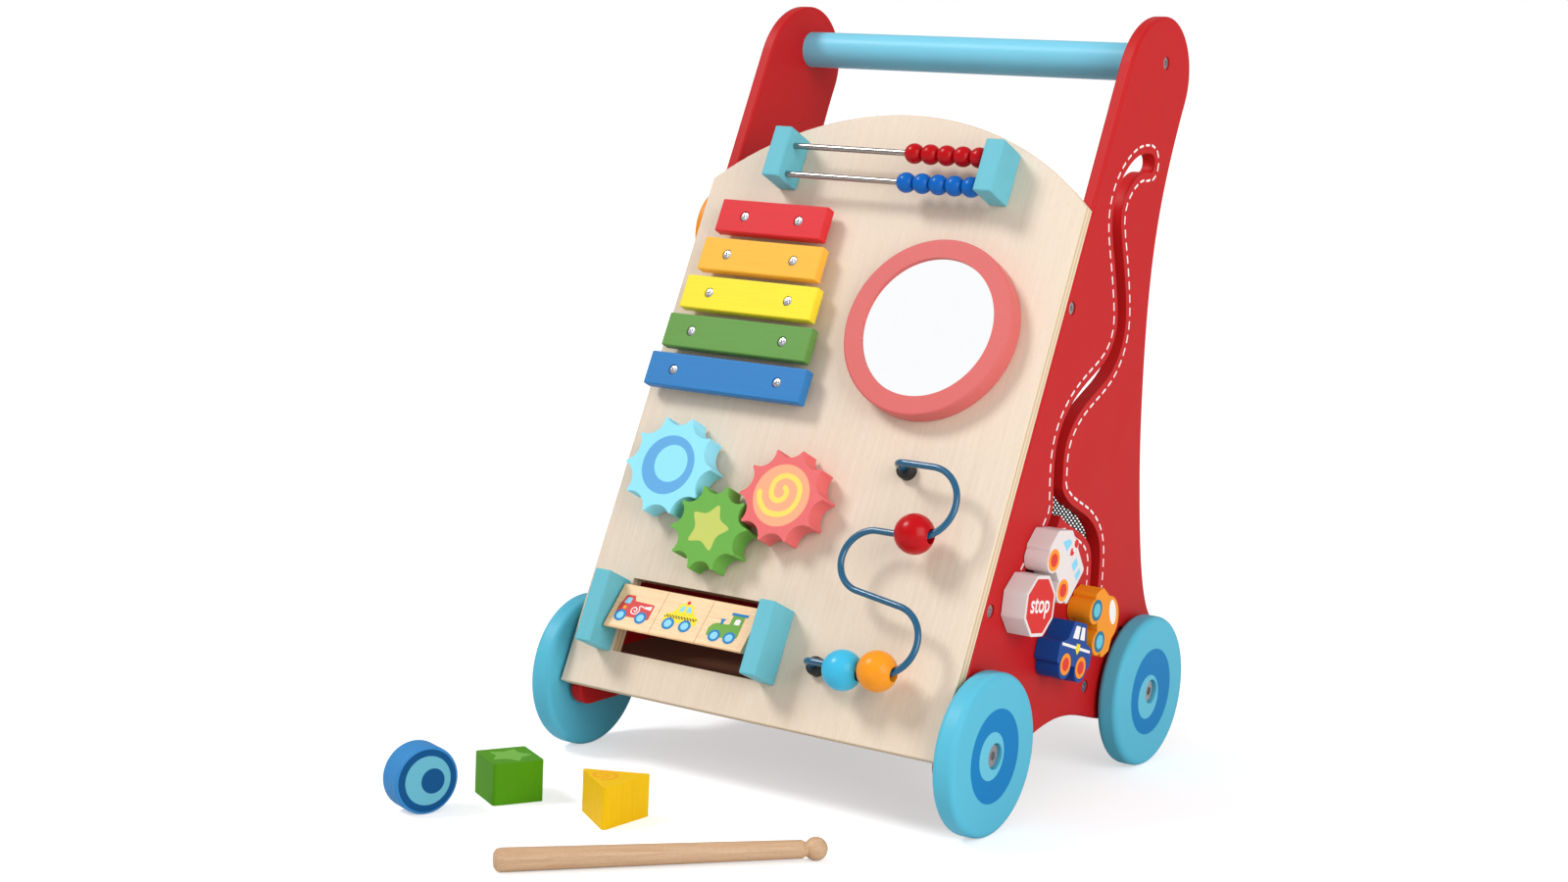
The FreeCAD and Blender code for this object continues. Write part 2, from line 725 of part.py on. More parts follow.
def gear_shape(root, tip, turn):
    """A star-like wooden gear: hollow rounds between narrow rounded tips."""
    edges = []
    shoulder = tip - tip_round
    spread = tip_round / shoulder
    pitch = 2 * math.pi / gear_teeth

    def polar(radius, at):
        return Vector(radius * math.cos(at), radius * math.sin(at), 0)

    for tooth in range(gear_teeth):
        at = math.radians(turn) + tooth * pitch
        edges.append(Part.Arc(polar(shoulder, at - spread), polar(tip, at),
                              polar(shoulder, at + spread)).toShape())
        edges.append(Part.Arc(polar(shoulder, at + spread), polar(root, at + pitch / 2),
                              polar(shoulder, at + pitch - spread)).toShape())
    blank = Part.Face(Part.Wire(edges)).extrude(Vector(0, 0, gear_thickness))
    bore = Part.makeCylinder(gear_pin_radius + running_fit, gear_thickness)
    return blank.cut(bore)


def gear_set():
    for name, (_, _, root, tip, turn) in gears.items():
        gear = gear_shape(root, tip, turn)
        pocket_floor = gear_thickness - gear_pin_head_height - 1.4
        pocket = Part.makeCylinder(gear_pin_head_radius + 0.4, gear_thickness, Vector(0, 0, pocket_floor))
        cap = Part.makeCylinder(gear_pin_head_radius + 0.4, 1.0, Vector(0, 0, gear_thickness - 1.0))
        gear = gear.cut(pocket).fuse(cap).removeSplitter()
        across, up = gear_place(name)
        gear.translate(Vector(across, up, gear_standoff))
        write(f"gear_{name}", on_board(gear))


def gear_pins():
    """Pins fixed in the board; their flat heads run inside the gears, under the picture discs."""
    pins = []
    floor = gear_standoff + gear_thickness - gear_pin_head_height - 1.4
    for name in gears:
        across, up = gear_place(name)
        stem = Part.makeCylinder(gear_pin_radius, wire_bite + floor + 0.4, Vector(across, up, -wire_bite))
        head = Part.makeCylinder(gear_pin_head_radius, gear_pin_head_height - 0.4,
                                 Vector(across, up, floor + 0.4))
        collar = Part.makeCylinder(gear_pin_head_radius + 1, gear_standoff - body_gap, Vector(across, up, 0))
        pins.append(on_board(stem.fuse([head, collar]).removeSplitter()))
    write("gear_pins", pins)


# ---------------------------------------------------------------- picture roller
def roller_block_sides():
    left = -half_width + window_left - roller_block_gap - roller_block[0]
    right = -half_width + window_left + window_width + roller_block_gap
    return left, right


def roller_rod_shape(radius):
    left, right = roller_block_sides()
    return rod_x(left + 3.5, right + roller_block[0] - 3.5, roller_axis, roller_lift, radius)


def roller():
    blocks = []
    for left in roller_block_sides():
        block = soft_box((left, window_foot - 1, 0), roller_block, 1.2)
        blocks.append(on_board(block.cut(roller_rod_shape(roller_rod_radius + thread_fit))))
    write("roller_blocks", blocks)
    write("roller_rod", on_board(roller_rod_shape(roller_rod_radius)))


def picture_places():
    """Left end of each picture block across the board."""
    first = -half_width + window_left + 0.7
    return [first + number * (picture_length + 0.4) for number in range(3)]


def picture_blocks():
    reach = picture_side / math.sqrt(3)
    for number, left in enumerate(picture_places(), start=1):
        points = []
        for corner in range(4):
            at = math.radians(150 - picture_turn + 120 * corner)
            points.append(Vector(left, reach * math.cos(at), reach * math.sin(at)))
        prism = Part.Face(Part.makePolygon(points)).extrude(Vector(picture_length, 0, 0))
        long_edges = [edge for edge in prism.Edges if edge.BoundBox.XLength > picture_length - 1e-6]
        prism = prism.makeFillet(picture_corner, long_edges)
        prism = prism.cut(rod_x(left, left + picture_length, 0, 0, roller_rod_radius + running_fit))
        prism.translate(Vector(0, roller_axis, roller_lift))
        write(f"picture_block_{number}", on_board(prism))


# ---------------------------------------------------------------- bead wire
def maze_centres():
    """Centre and radius of each turn; the run from the top turn to the middle one is level."""
    level = maze_top_turn[1] - maze_top_turn[2]
    middle = (maze_middle_turn[0], level - maze_middle_turn[1], maze_middle_turn[1])
    turns = (maze_top_turn, middle, maze_bottom_turn)
    return [(half_width - across, up, radius) for across, up, radius in turns]


def wire_ends():
    """Where the wire's two legs enter the board."""
    top, _, bottom = maze_centres()
    return [(half_width - maze_top_end, top[1] + top[2]),
            (half_width - maze_bottom_end, bottom[1] - bottom[2])]


def wire_path():
    """Legs, runs and turns of the wire, as one tangent chain."""
    top, middle, bottom = maze_centres()
    (start_u, start_v), (end_u, end_v) = wire_ends()
    high = wire_height

    def flat(u, v):
        return Vector(u, v, high)

    def turn(centre, first, last):
        u, v, radius = centre
        at = [math.radians(first), math.radians((first + last) / 2), math.radians(last)]
        return [flat(u + radius * math.cos(a), v + radius * math.sin(a)) for a in at]

    # the slanting run touches the middle turn and the bottom turn on opposite sides
    across = bottom[0] - middle[0]
    down = bottom[1] - middle[1]
    span = math.hypot(across, down)
    lean = math.atan2(down, across) - math.acos((middle[2] + bottom[2]) / span)
    lean_deg = math.degrees(lean)
    first = turn(top, 90, -90)
    second = turn(middle, 90, 360 + lean_deg)
    third = turn(bottom, lean_deg + 180, -90)
    corner = wire_corner
    bend = corner * (1 - math.sqrt(0.5))
    edges = [
        Part.makeLine(Vector(start_u, start_v, -wire_bite), Vector(start_u, start_v, high - corner)),
        Part.Arc(Vector(start_u, start_v, high - corner), Vector(start_u + bend, start_v, high - bend),
                 flat(start_u + corner, start_v)).toShape(),
        Part.makeLine(flat(start_u + corner, start_v), first[0]),
        Part.Arc(*first).toShape(),
        Part.makeLine(first[2], second[0]),
        Part.Arc(*second).toShape(),
        Part.makeLine(second[2], third[0]),
        Part.Arc(*third).toShape(),
        Part.makeLine(third[2], flat(end_u + corner, end_v)),
        Part.Arc(flat(end_u + corner, end_v), Vector(end_u + bend, end_v, high - bend),
                 Vector(end_u, end_v, high - corner)).toShape(),
        Part.makeLine(Vector(end_u, end_v, high - corner), Vector(end_u, end_v, -wire_bite))]
    return Part.Wire(edges)


def bead_wire():
    path = wire_path()
    start = path.Edges[0].Vertexes[0].Point
    ring = Part.Wire(Part.makeCircle(wire_radius, start, Vector(0, 0, 1)))
    tube = path.makePipeShell([ring], True, False)
    write("bead_wire", on_board(tube))
    caps = []
    for across, up in wire_ends():
        cap = rounded_disc(cap_radius, cap_height + 3, 3.0).common(
            Part.makeCylinder(cap_radius, cap_height, Vector(0, 0, 3)))
        cap.translate(Vector(across, up, -3))
        caps.append(on_board(cap.cut(Part.makeCylinder(wire_radius + thread_fit, 3 * cap_height,
                                                       Vector(across, up, -cap_height)))))
    write("wire_caps", caps)


def maze_bead(across, up, turn):
    bead = round_bead(maze_bead_radius, maze_bead_width, maze_bead_bore)
    bead.rotate(Vector(0, 0, 0), Vector(0, 0, 1), turn)
    bead.translate(Vector(across, up, wire_height))
    return on_board(bead)


def maze_beads():
    top, _, bottom = maze_centres()
    for name, (u, v, radius), angle in (("red", top, red_bead_angle), ("orange", bottom, orange_bead_angle)):
        at = math.radians(angle)
        reach = radius - maze_bead_inset
        write(f"maze_bead_{name}", maze_bead(u + reach * math.cos(at), v + reach * math.sin(at), angle + 90))
    u, v, radius = bottom
    orange = u + (radius - maze_bead_inset) * math.cos(math.radians(orange_bead_angle))
    beside = orange - maze_bead_width - body_gap
    write("maze_bead_light_blue", maze_bead(beside, v - radius - maze_bead_inset, 0))


# ================================================================ vehicles on the road
def vehicle_outline(kind):
    """Flat shapes of one vehicle in its own axes: forward and up, centred on its body."""
    def disc(forward, up, radius):
        return Part.makeCylinder(radius, vehicle_thickness, Vector(forward, up, 0))

    def slab(points):
        ring = [Vector(a, b, 0) for a, b in points]
        blank = Part.Face(Part.makePolygon(ring + [ring[0]])).extrude(Vector(0, 0, vehicle_thickness))
        uprights = [edge for edge in blank.Edges if edge.BoundBox.ZLength > vehicle_thickness - 1e-6]
        return blank.makeFillet(2.5, uprights)

    if kind == "stop_sign":
        reach = 18.6 / math.cos(math.pi / 8)
        angles = [math.radians(22.5 + 45 * corner) for corner in range(8)]
        return slab([(reach * math.cos(at), reach * math.sin(at)) for at in angles])
    if kind == "ambulance":
        body = slab([(-22, -12), (25, -12), (27, 3), (15, 17), (-18, 17)])
        return body.fuse([disc(15, -11, 8), disc(-10, -11, 8), disc(4, 16.5, 3.5)])
    if kind == "orange_car":
        body = slab([(-23, -9), (22, -9), (22, 2), (13, 9), (-14, 9), (-23, 2)])
        return body.fuse([disc(11, -11, 8), disc(-11, -11, 8), disc(-1.5, 4.5, 15)])
    body = slab([(-23, -10), (23, -10), (23, 3), (13, 6), (9, 18), (-8, 18), (-13, 6), (-23, 3)])
    return body.fuse([disc(11, -11, 8), disc(-11, -11, 8)])


# Each vehicle: its body's centre, its turn in degrees and its peg's place on the side of the walker.
vehicles = {
    "ambulance": ((79.0, 153.5), 124.0, (76.2, 162.1)),
    "stop_sign": ((47.4, 133.6), -8.0, (48.2, 135.1)),
    "orange_car": ((136.5, 110.5), 106.0, (149.3, 116.5)),
    "police_car": ((98.6, 97.0), -16.0, (102.5, 98.0)),
}


def vehicle_set():
    for name, (centre, turn, peg) in vehicles.items():
        body = vehicle_outline(name).removeSplitter()
        if name in ("ambulance", "orange_car"):        # these two drive with their roofs to the rear
            body = body.mirror(Vector(0, 0, 0), Vector(0, 1, 0))
        body.rotate(Vector(0, 0, 0), Vector(0, 0, 1), turn)
        place = FreeCAD.Placement(side_point(half_width + vehicle_gap, *centre),
                                  FreeCAD.Rotation(Vector(0, 1, 0), Vector(0, 0, 1), Vector(1, 0, 0), "XYZ"))
        body.Placement = place.multiply(body.Placement)
        peg_at = side_point(0, *peg)
        base = half_width + vehicle_gap
        pocket = rod_x(base, base + peg_depth, peg_at.y, peg_at.z, peg_radius + thread_fit)
        inside = inner_half - vehicle_gap
        stem = rod_x(inside, base + peg_depth, peg_at.y, peg_at.z, peg_radius)
        disc = rod_x(inside - peg_disc_thickness, inside, peg_at.y, peg_at.z, peg_disc_radius)
        write(f"vehicle_{name}", [body.cut(pocket), stem.fuse(disc).removeSplitter()])


# ================================================================ left side dial
def dial_pin_hole():
    place = side_point(-half_width - 1, dial_back, dial_height)
    return Part.makeCylinder(screw_shank_radius + thread_fit, panel_thickness + 2, place, Vector(1, 0, 0))


def dial():
    place = side_point(-half_width - vehicle_gap, dial_back, dial_height)
    disc = rounded_disc(dial_radius, dial_thickness, 2.0)
    recess = Part.makeCylinder(screw_recess_radius, dial_thickness,
                               Vector(0, 0, dial_thickness - screw_recess_depth))
    bore = Part.makeCylinder(screw_shank_radius + running_fit, dial_thickness)
    finger = Part.makeSphere(7.0, Vector(dial_radius * 0.6, 0, dial_thickness + 4.0))
    write("dial", aim(disc.cut([recess, bore, finger]), place, Vector(-1, 0, 0)))
    seat = dial_thickness - screw_recess_depth + 0.3
    shank = Part.makeCylinder(screw_shank_radius, seat + vehicle_gap + panel_thickness - 1,
                              Vector(0, 0, -vehicle_gap - panel_thickness + 1))
    head = Part.makeCylinder(screw_head_radius, screw_head_height, Vector(0, 0, seat))
    write("dial_screw", aim(shank.fuse(head).removeSplitter(), place, Vector(-1, 0, 0)))


# ================================================================ loose pieces
def loose_blocks():
    x, y, turn = round_block_place
    disc = rounded_disc(round_block_radius, round_block_thickness, block_edge_round)
    way = Vector(math.cos(math.radians(turn - 90)), math.sin(math.radians(turn - 90)), 0)
    write("round_block", aim(disc, Vector(x, y, round_block_radius), way))
    for kind, (x, y, turn) in (("square", square_block_place), ("triangle", triangle_block_place)):
        body = sorter_shape(kind, 0.0, block_thickness)
        body.rotate(Vector(0, 0, 0), Vector(0, 1, 0), -90)
        body.rotate(Vector(0, 0, 0), Vector(0, 0, 1), turn)
        body.translate(Vector(x, y, 0))
        write(f"{kind}_block", body)


def mallet():
    """A tapering beater with a ball tip, lying on the floor."""
    ball_start = mallet_length - 2 * mallet_ball_radius
    outline = [(0, 0), (mallet_grip_radius * 0.6, 0), (mallet_grip_radius * 0.92, 1.6),
               (mallet_grip_radius, 4.5), (mallet_neck_radius, ball_start - 1.5),
               (mallet_neck_radius - 0.9, ball_start), (mallet_neck_radius - 1.4, ball_start + 2.0),
               (0, ball_start + 2.0)]
    shaft = turned(outline)
    ball = Part.makeSphere(mallet_ball_radius, Vector(0, 0, mallet_length - mallet_ball_radius))
    body = shaft.fuse(ball).removeSplitter()
    way = Vector(math.cos(math.radians(mallet_turn)), math.sin(math.radians(mallet_turn)), 0)
    write("mallet", aim(body, Vector(mallet_foot[0], mallet_foot[1], mallet_grip_radius), way))


# ================================================================ build
os.makedirs("parts", exist_ok=True)
for build in (right_panel, left_panel, handle_bar, cross_rails, bottom_shelf, rear_rail, storage_net,
              frame_screws, wheels, wheel_bolts, wheel_washers, activity_board, abacus, abacus_beads,
              xylophone, mirror, gear_set, gear_pins, roller, picture_blocks, bead_wire, maze_beads,
              vehicle_set, dial, loose_blocks, mallet):
    build()
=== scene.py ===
# %% [markdown]
# # A wooden push walker with an activity board
# The walker has two painted side panels, a slanted birch board full of things to turn and
# slide, four wheels and a few loose toys. The exact shapes come packed from CAD, each part
# already in its place, in metres. This lesson gives them their finishes and adds what CAD
# leaves out: prints, dashed road markings, screw heads and the storage net.

import json
import math

import bmesh
import bpy
from mathutils import Matrix, Vector

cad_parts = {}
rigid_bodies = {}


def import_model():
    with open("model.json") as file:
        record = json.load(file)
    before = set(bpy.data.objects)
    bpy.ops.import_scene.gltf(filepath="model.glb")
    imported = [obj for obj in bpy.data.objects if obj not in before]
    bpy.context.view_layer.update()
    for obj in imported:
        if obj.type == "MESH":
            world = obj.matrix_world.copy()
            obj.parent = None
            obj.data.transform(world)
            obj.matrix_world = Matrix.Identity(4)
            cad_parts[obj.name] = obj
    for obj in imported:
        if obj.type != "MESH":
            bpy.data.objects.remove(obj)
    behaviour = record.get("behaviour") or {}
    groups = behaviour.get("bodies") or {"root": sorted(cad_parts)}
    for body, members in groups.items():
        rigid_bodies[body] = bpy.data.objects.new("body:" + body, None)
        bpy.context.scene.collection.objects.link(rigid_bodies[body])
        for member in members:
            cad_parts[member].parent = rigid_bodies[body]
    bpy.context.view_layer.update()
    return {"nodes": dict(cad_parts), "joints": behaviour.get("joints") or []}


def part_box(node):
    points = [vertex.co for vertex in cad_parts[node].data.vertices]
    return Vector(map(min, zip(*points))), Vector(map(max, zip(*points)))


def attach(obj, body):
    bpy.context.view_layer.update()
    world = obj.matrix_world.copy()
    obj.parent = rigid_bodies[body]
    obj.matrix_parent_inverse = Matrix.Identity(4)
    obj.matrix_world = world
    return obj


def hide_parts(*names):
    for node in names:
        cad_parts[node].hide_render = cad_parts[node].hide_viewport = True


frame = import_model()
scene = bpy.context.scene
nodes = frame["nodes"]
joints = {joint["name"]: joint for joint in frame["joints"]}
mm = 0.001

# %% [markdown]
# ## Camera
# A product shot of a toy is taken from a few steps away, a little above its middle, so that
# lines stay nearly parallel. A camera can be aimed with a constraint, but an exact view is
# easier to keep when its three directions are worked out from a turn, a tip and a roll.

# %% Camera
camera_place = Vector((0.8377, -1.3633, 0.4483))
turn_left, tip_down, roll = math.radians(33.73), math.radians(8.577), math.radians(2.533)
ahead = Vector((-math.sin(turn_left) * math.cos(tip_down),
                math.cos(turn_left) * math.cos(tip_down), -math.sin(tip_down)))
level = Vector((math.cos(turn_left), math.sin(turn_left), 0))
above = level.cross(ahead)
right_hand = level * math.cos(roll) + above * math.sin(roll)
overhead = above * math.cos(roll) - level * math.sin(roll)

camera = bpy.data.objects.new("camera", bpy.data.cameras.new("camera"))
camera.data.lens = 56.72
camera.matrix_world = Matrix.Translation(camera_place) @ Matrix(
    (right_hand, overhead, -ahead)).transposed().to_4x4()
scene.collection.objects.link(camera)
scene.camera = camera
print("camera stands", round((camera_place - Vector((0, 0, 0.25))).length, 3), "m away")

# %% [markdown]
# ## Tools for building node trees
# A material is a small network of nodes, and so is the light of a room. Linking each socket
# by hand is long, so a helper places a node and plugs its inputs in one go, and three more
# wrap the nodes used most: arithmetic on numbers, arithmetic on vectors, and the node that
# stretches one range of values into another. Those three give back the socket of their result.

# %% Helpers for nodes
def put(tree, kind, inputs=None, **settings):
    """Places a node. An input is a number, a vector, a colour or the socket that feeds it."""
    made = tree.nodes.new(kind)
    for name, value in settings.items():
        setattr(made, name, value)
    for name, value in (inputs or {}).items():
        if isinstance(value, bpy.types.NodeSocket):
            tree.links.new(value, made.inputs[name])
        else:
            made.inputs[name].default_value = value
    return made


def sums(tree, operation, first, second=0.0, third=0.0):
    """One step of arithmetic on numbers."""
    return put(tree, "ShaderNodeMath", {0: first, 1: second, 2: third}, operation=operation).outputs[0]


def vectors(tree, operation, first, second):
    """One step on vectors. To SCALE takes a number as its second input, a DOT_PRODUCT gives one."""
    second_input = "Scale" if operation == "SCALE" else 1
    made = put(tree, "ShaderNodeVectorMath", {0: first, second_input: second}, operation=operation)
    return made.outputs["Value" if operation == "DOT_PRODUCT" else "Vector"]


def spread(tree, value, low, high, to_low=0.0, to_high=1.0):
    """Stretches the values from low to high into those from to_low to to_high."""
    return put(tree, "ShaderNodeMapRange", {"Value": value, "From Min": low, "From Max": high,
                                            "To Min": to_low, "To Max": to_high}).outputs["Result"]


print("node helpers:", [helper.__name__ for helper in (put, sums, vectors, spread)])

# %% [markdown]
# ## Colours and groups
# Colours are given as a paint maker would, 0 to 255 for red, green and blue. Effects that
# many materials share, such as grain, are node groups with named sockets, built once.

# %% Helpers for colours and groups
def tint(red, green, blue):
    """A colour in 0 to 255 steps, turned into the linear values that shaders use."""
    def linear(step):
        share = step / 255
        return share / 12.92 if share <= 0.04045 else ((share + 0.055) / 1.055) ** 2.4
    return (linear(red), linear(green), linear(blue), 1.0)


def mixed(tree, share, first, second):
    """A colour between two others. The node's sockets 6 and 7 are its colour inputs."""
    return put(tree, "ShaderNodeMix", {"Factor": share, 6: first, 7: second}, data_type="RGBA").outputs[2]


def new_group(name, inputs, outputs):
    """A shader node group with named sockets, and its two end nodes."""
    tree = bpy.data.node_groups.new(name, "ShaderNodeTree")
    for label, kind, value in inputs:
        socket = tree.interface.new_socket(label, in_out="INPUT", socket_type=kind)
        if value is not None:
            socket.default_value = value
    for label, kind in outputs:
        tree.interface.new_socket(label, in_out="OUTPUT", socket_type=kind)
    return tree, tree.nodes.new("NodeGroupInput").outputs, tree.nodes.new("NodeGroupOutput").inputs


VECTOR, NUMBER, COLOUR = "NodeSocketVector", "NodeSocketFloat", "NodeSocketColor"
print("mid grey is", round(tint(128, 128, 128)[0], 3), "in linear light")

# %% [markdown]
# ## The pale room
# The toy stands in plain white, as in a catalogue. A bright room would wash its colours out,
# so the room has two strengths. Rays that look at it, straight or by way of the mirror, find
# it white. Rays that carry its light to the toy find it at less than half of that. The Light
# Path node tells the two kinds of ray apart.

# %% The room
scene.view_settings.view_transform = "Standard"


def seen_or_felt(tree, seen, felt):
    """One strength for what is seen, straight or in the mirror, and another for what lights the toy."""
    path = put(tree, "ShaderNodeLightPath").outputs
    looked_at = sums(tree, "MAXIMUM", path["Is Camera Ray"], path["Is Singular Ray"])
    return spread(tree, looked_at, 0.0, 1.0, felt, seen)


room = bpy.data.worlds.new("pale_room")
room.use_nodes = True
backdrop = room.node_tree.nodes["Background"]
backdrop.inputs["Color"].default_value = (1.0, 1.0, 1.0, 1)
room.node_tree.links.new(seen_or_felt(room.node_tree, seen=1.0, felt=0.43), backdrop.inputs["Strength"])
scene.world = room
print("room:", room.name)

# %% [markdown]
# ## Lamps
# One soft key light from the upper left gives the toy its shading, and a broad panel on the
# right lifts the shadows on that side. The key is a sun, because a sun is as strong at the
# handle as at the wheels, where a near lamp would fade.

# %% Lamps
walker_middle = Vector((0, 0, 0.22))


def soft_light(name, kind, side, strength, softness):
    """A sun or a large square panel that shines on the walker from one side."""
    lamp = bpy.data.lights.new(name, kind)
    lamp.energy = strength
    if kind == "SUN":
        lamp.angle = softness
    else:
        lamp.shape, lamp.size = "SQUARE", softness
    holder = bpy.data.objects.new(name, lamp)
    holder.location = walker_middle + Vector(side)
    holder.rotation_mode = "QUATERNION"
    holder.rotation_quaternion = (-Vector(side)).to_track_quat("-Z", "Y")
    scene.collection.objects.link(holder)


soft_light("key_light", "SUN", side=(-1.1, -0.8, 1.5), strength=1.65, softness=math.radians(18))
soft_light("right_panel_light", "AREA", side=(2.2, -0.9, 0.9), strength=37, softness=1.8)

# %% [markdown]
# ## Floor
# The floor is a very large sheet of matt white paper, one plain face. It glows a little where
# it is looked at, for the same reason as the room, and it catches the soft shadow under the
# walker.

# %% Floor
floor_half = 40.0
floor_mesh = bpy.data.meshes.new("floor")
floor_mesh.from_pydata([(-floor_half, -floor_half, 0), (floor_half, -floor_half, 0),
                        (floor_half, floor_half, 0), (-floor_half, floor_half, 0)], [], [(0, 1, 2, 3)])
floor = bpy.data.objects.new("floor", floor_mesh)
white_paper = bpy.data.materials.new("white_paper")
white_paper.use_nodes = True
paper = white_paper.node_tree.nodes["Principled BSDF"]
paper.inputs["Base Color"].default_value = (0.78, 0.78, 0.78, 1)
paper.inputs["Roughness"].default_value = 0.9
paper.inputs["Specular IOR Level"].default_value = 0.1
paper.inputs["Emission Color"].default_value = (1, 1, 1, 1)
white_paper.node_tree.links.new(seen_or_felt(white_paper.node_tree, seen=0.52, felt=0.0),
                                paper.inputs["Emission Strength"])
floor_mesh.materials.append(white_paper)
scene.collection.objects.link(floor)
print("floor:", 2 * floor_half, "m wide")

# %% [markdown]
# ## Wood grain
# Grain is long soft streaks with short darker pores between them. A picture of wood would
# repeat and stretch, so the streaks are made from noise instead: the place of each point is
# split into a part along the grain and a part across it, and the two are scaled apart.
# The same group serves birch, beech and the grain that shows through paint.

# %% Group: wood grain
grain, given, result = new_group(
    "wood_grain",
    [("Vector", VECTOR, None), ("Along", VECTOR, (0, 0, 1)), ("Length", NUMBER, 60 * mm),
     ("Width", NUMBER, 1.6 * mm)],
    [("Streaks", NUMBER), ("Pores", NUMBER)])
run = vectors(grain, "DOT_PRODUCT", given["Vector"], given["Along"])
along = vectors(grain, "SCALE", given["Along"], run)
across = vectors(grain, "SUBTRACT", given["Vector"], along)


def stretched(length, width):
    """Places scaled apart, so that noise on them runs along the grain."""
    wide = vectors(grain, "SCALE", across, sums(grain, "DIVIDE", 1.0, width))
    long = vectors(grain, "SCALE", along, sums(grain, "DIVIDE", 1.0, length))
    return vectors(grain, "ADD", wide, long)


pore_length = sums(grain, "MULTIPLY", given["Length"], 0.07)
pore_width = sums(grain, "MULTIPLY", given["Width"], 0.28)
streaks = put(grain, "ShaderNodeTexNoise",
              {"Vector": stretched(given["Length"], given["Width"]), "Scale": 1.0, "Detail": 4.0,
               "Roughness": 0.6, "Distortion": 0.4})
fine = put(grain, "ShaderNodeTexNoise",
           {"Vector": stretched(pore_length, pore_width), "Scale": 1.0, "Detail": 2.0, "Roughness": 0.5})
grain.links.new(streaks.outputs[0], result["Streaks"])
grain.links.new(spread(grain, fine.outputs[0], 0.56, 0.72), result["Pores"])
print("group made:", grain.name)

# %% [markdown]
# ## Paint film
# Sprayed paint on wood is never quite even. It has faint clouds of tone, a fine orange-peel
# skin, and a little of the grain under it. One group gives colour, roughness and height, so
# that every painted part gets the same film with its own colour and amount of grain.

# %% Group: paint film
film, given, result = new_group(
    "paint_film",
    [("Vector", VECTOR, None), ("Colour", COLOUR, (0.8, 0.1, 0.1, 1)), ("Along", VECTOR, (0, 0, 1)),
     ("Grain", NUMBER, 0.3), ("Gloss", NUMBER, 0.5), ("Clouds", NUMBER, 0.05)],
    [("Colour", COLOUR), ("Roughness", NUMBER), ("Height", NUMBER)])
wood = put(film, "ShaderNodeGroup", {"Vector": given["Vector"], "Along": given["Along"],
                                     "Length": 30 * mm, "Width": 1.1 * mm}, node_tree=grain).outputs
clouds = put(film, "ShaderNodeTexNoise", {"Vector": given["Vector"], "Scale": 34.0, "Detail": 3.0})
skin = put(film, "ShaderNodeTexNoise", {"Vector": given["Vector"], "Scale": 900.0, "Detail": 1.0})
cloud = sums(film, "SUBTRACT", clouds.outputs[0], 0.5)
streak = sums(film, "MULTIPLY", sums(film, "SUBTRACT", wood["Streaks"], 0.5), given["Grain"])
pore = sums(film, "MULTIPLY", wood["Pores"], given["Grain"])
print("paint is laid over", wood["Streaks"].name.lower(), "and", wood["Pores"].name.lower())

# %% Paint film: tone, gloss and height
streak_tint, pore_tint = 0.55, 0.22
cloud_gloss, grain_gloss = 0.10, 0.12
skin_height = 0.25

tone = sums(film, "MULTIPLY_ADD", cloud, given["Clouds"], 1.0)
tone = sums(film, "MULTIPLY_ADD", streak, streak_tint, tone)
tone = sums(film, "SUBTRACT", tone, sums(film, "MULTIPLY", pore, pore_tint))
rough = sums(film, "MULTIPLY_ADD", cloud, cloud_gloss, given["Gloss"])
grain_rough = sums(film, "MULTIPLY", given["Grain"], grain_gloss)
rough = sums(film, "MULTIPLY_ADD", wood["Streaks"], grain_rough, rough)
raised_grain = sums(film, "MULTIPLY", wood["Streaks"], given["Grain"])
height = sums(film, "MULTIPLY_ADD", skin.outputs[0], skin_height, raised_grain)
film.links.new(vectors(film, "SCALE", given["Colour"], tone), result["Colour"])
film.links.new(rough, result["Roughness"])
film.links.new(height, result["Height"])
print("group made:", film.name)

# %% [markdown]
# ## From group to material
# A group only works out values. The shader itself stays in the material, and so do numbers
# that are the same all over a part, such as its coat. Patterns read object coordinates: they
# are real metres and stick to the part as it moves. A bump node turns height into relief.

# %% Helpers for materials
UPRIGHT, SIDEWAYS = (0, 0, 1), (1, 0, 0)
PAINT_SHINE, COAT_ROUGHNESS = 0.16, 0.12


def new_material(name):
    """An empty material with its shader, and the object coordinates that patterns use."""
    made = bpy.data.materials.new(name)
    made.use_nodes = True
    tree = made.node_tree
    shader = tree.nodes["Principled BSDF"]
    place = put(tree, "ShaderNodeTexCoord").outputs["Object"]
    return made, tree, shader, place


def relief(tree, shader, height, strength, depth):
    """Feeds a height into the shader's normal."""
    bump = put(tree, "ShaderNodeBump", {"Height": height, "Strength": strength, "Distance": depth})
    tree.links.new(bump.outputs[0], shader.inputs["Normal"])


def painted(name, colour, along=UPRIGHT, grain_share=0.3, gloss=0.42, clouds_share=0.06, coat=0.0):
    """A paint of one colour: the film group feeds the shader, with this paint's own values."""
    made, tree, shader, place = new_material(name)
    paint = put(tree, "ShaderNodeGroup",
                {"Vector": place, "Colour": tint(*colour), "Along": along, "Grain": grain_share,
                 "Gloss": gloss, "Clouds": clouds_share}, node_tree=film).outputs
    tree.links.new(paint["Colour"], shader.inputs["Base Color"])
    tree.links.new(paint["Roughness"], shader.inputs["Roughness"])
    relief(tree, shader, paint["Height"], 0.35, 0.25 * mm)
    shader.inputs["Specular IOR Level"].default_value = PAINT_SHINE
    shader.inputs["Coat Weight"].default_value = coat
    shader.inputs["Coat Roughness"].default_value = COAT_ROUGHNESS
    return made


print("all paints share a specular level of", PAINT_SHINE)

# %% [markdown]
# ## The slanted board
# Everything on the board shares its slope. Three directions describe it: across, up the
# slope, and out of the face. A part's furthest reach along a direction gives its surface
# exactly, so prints can lie on it without measuring by eye.

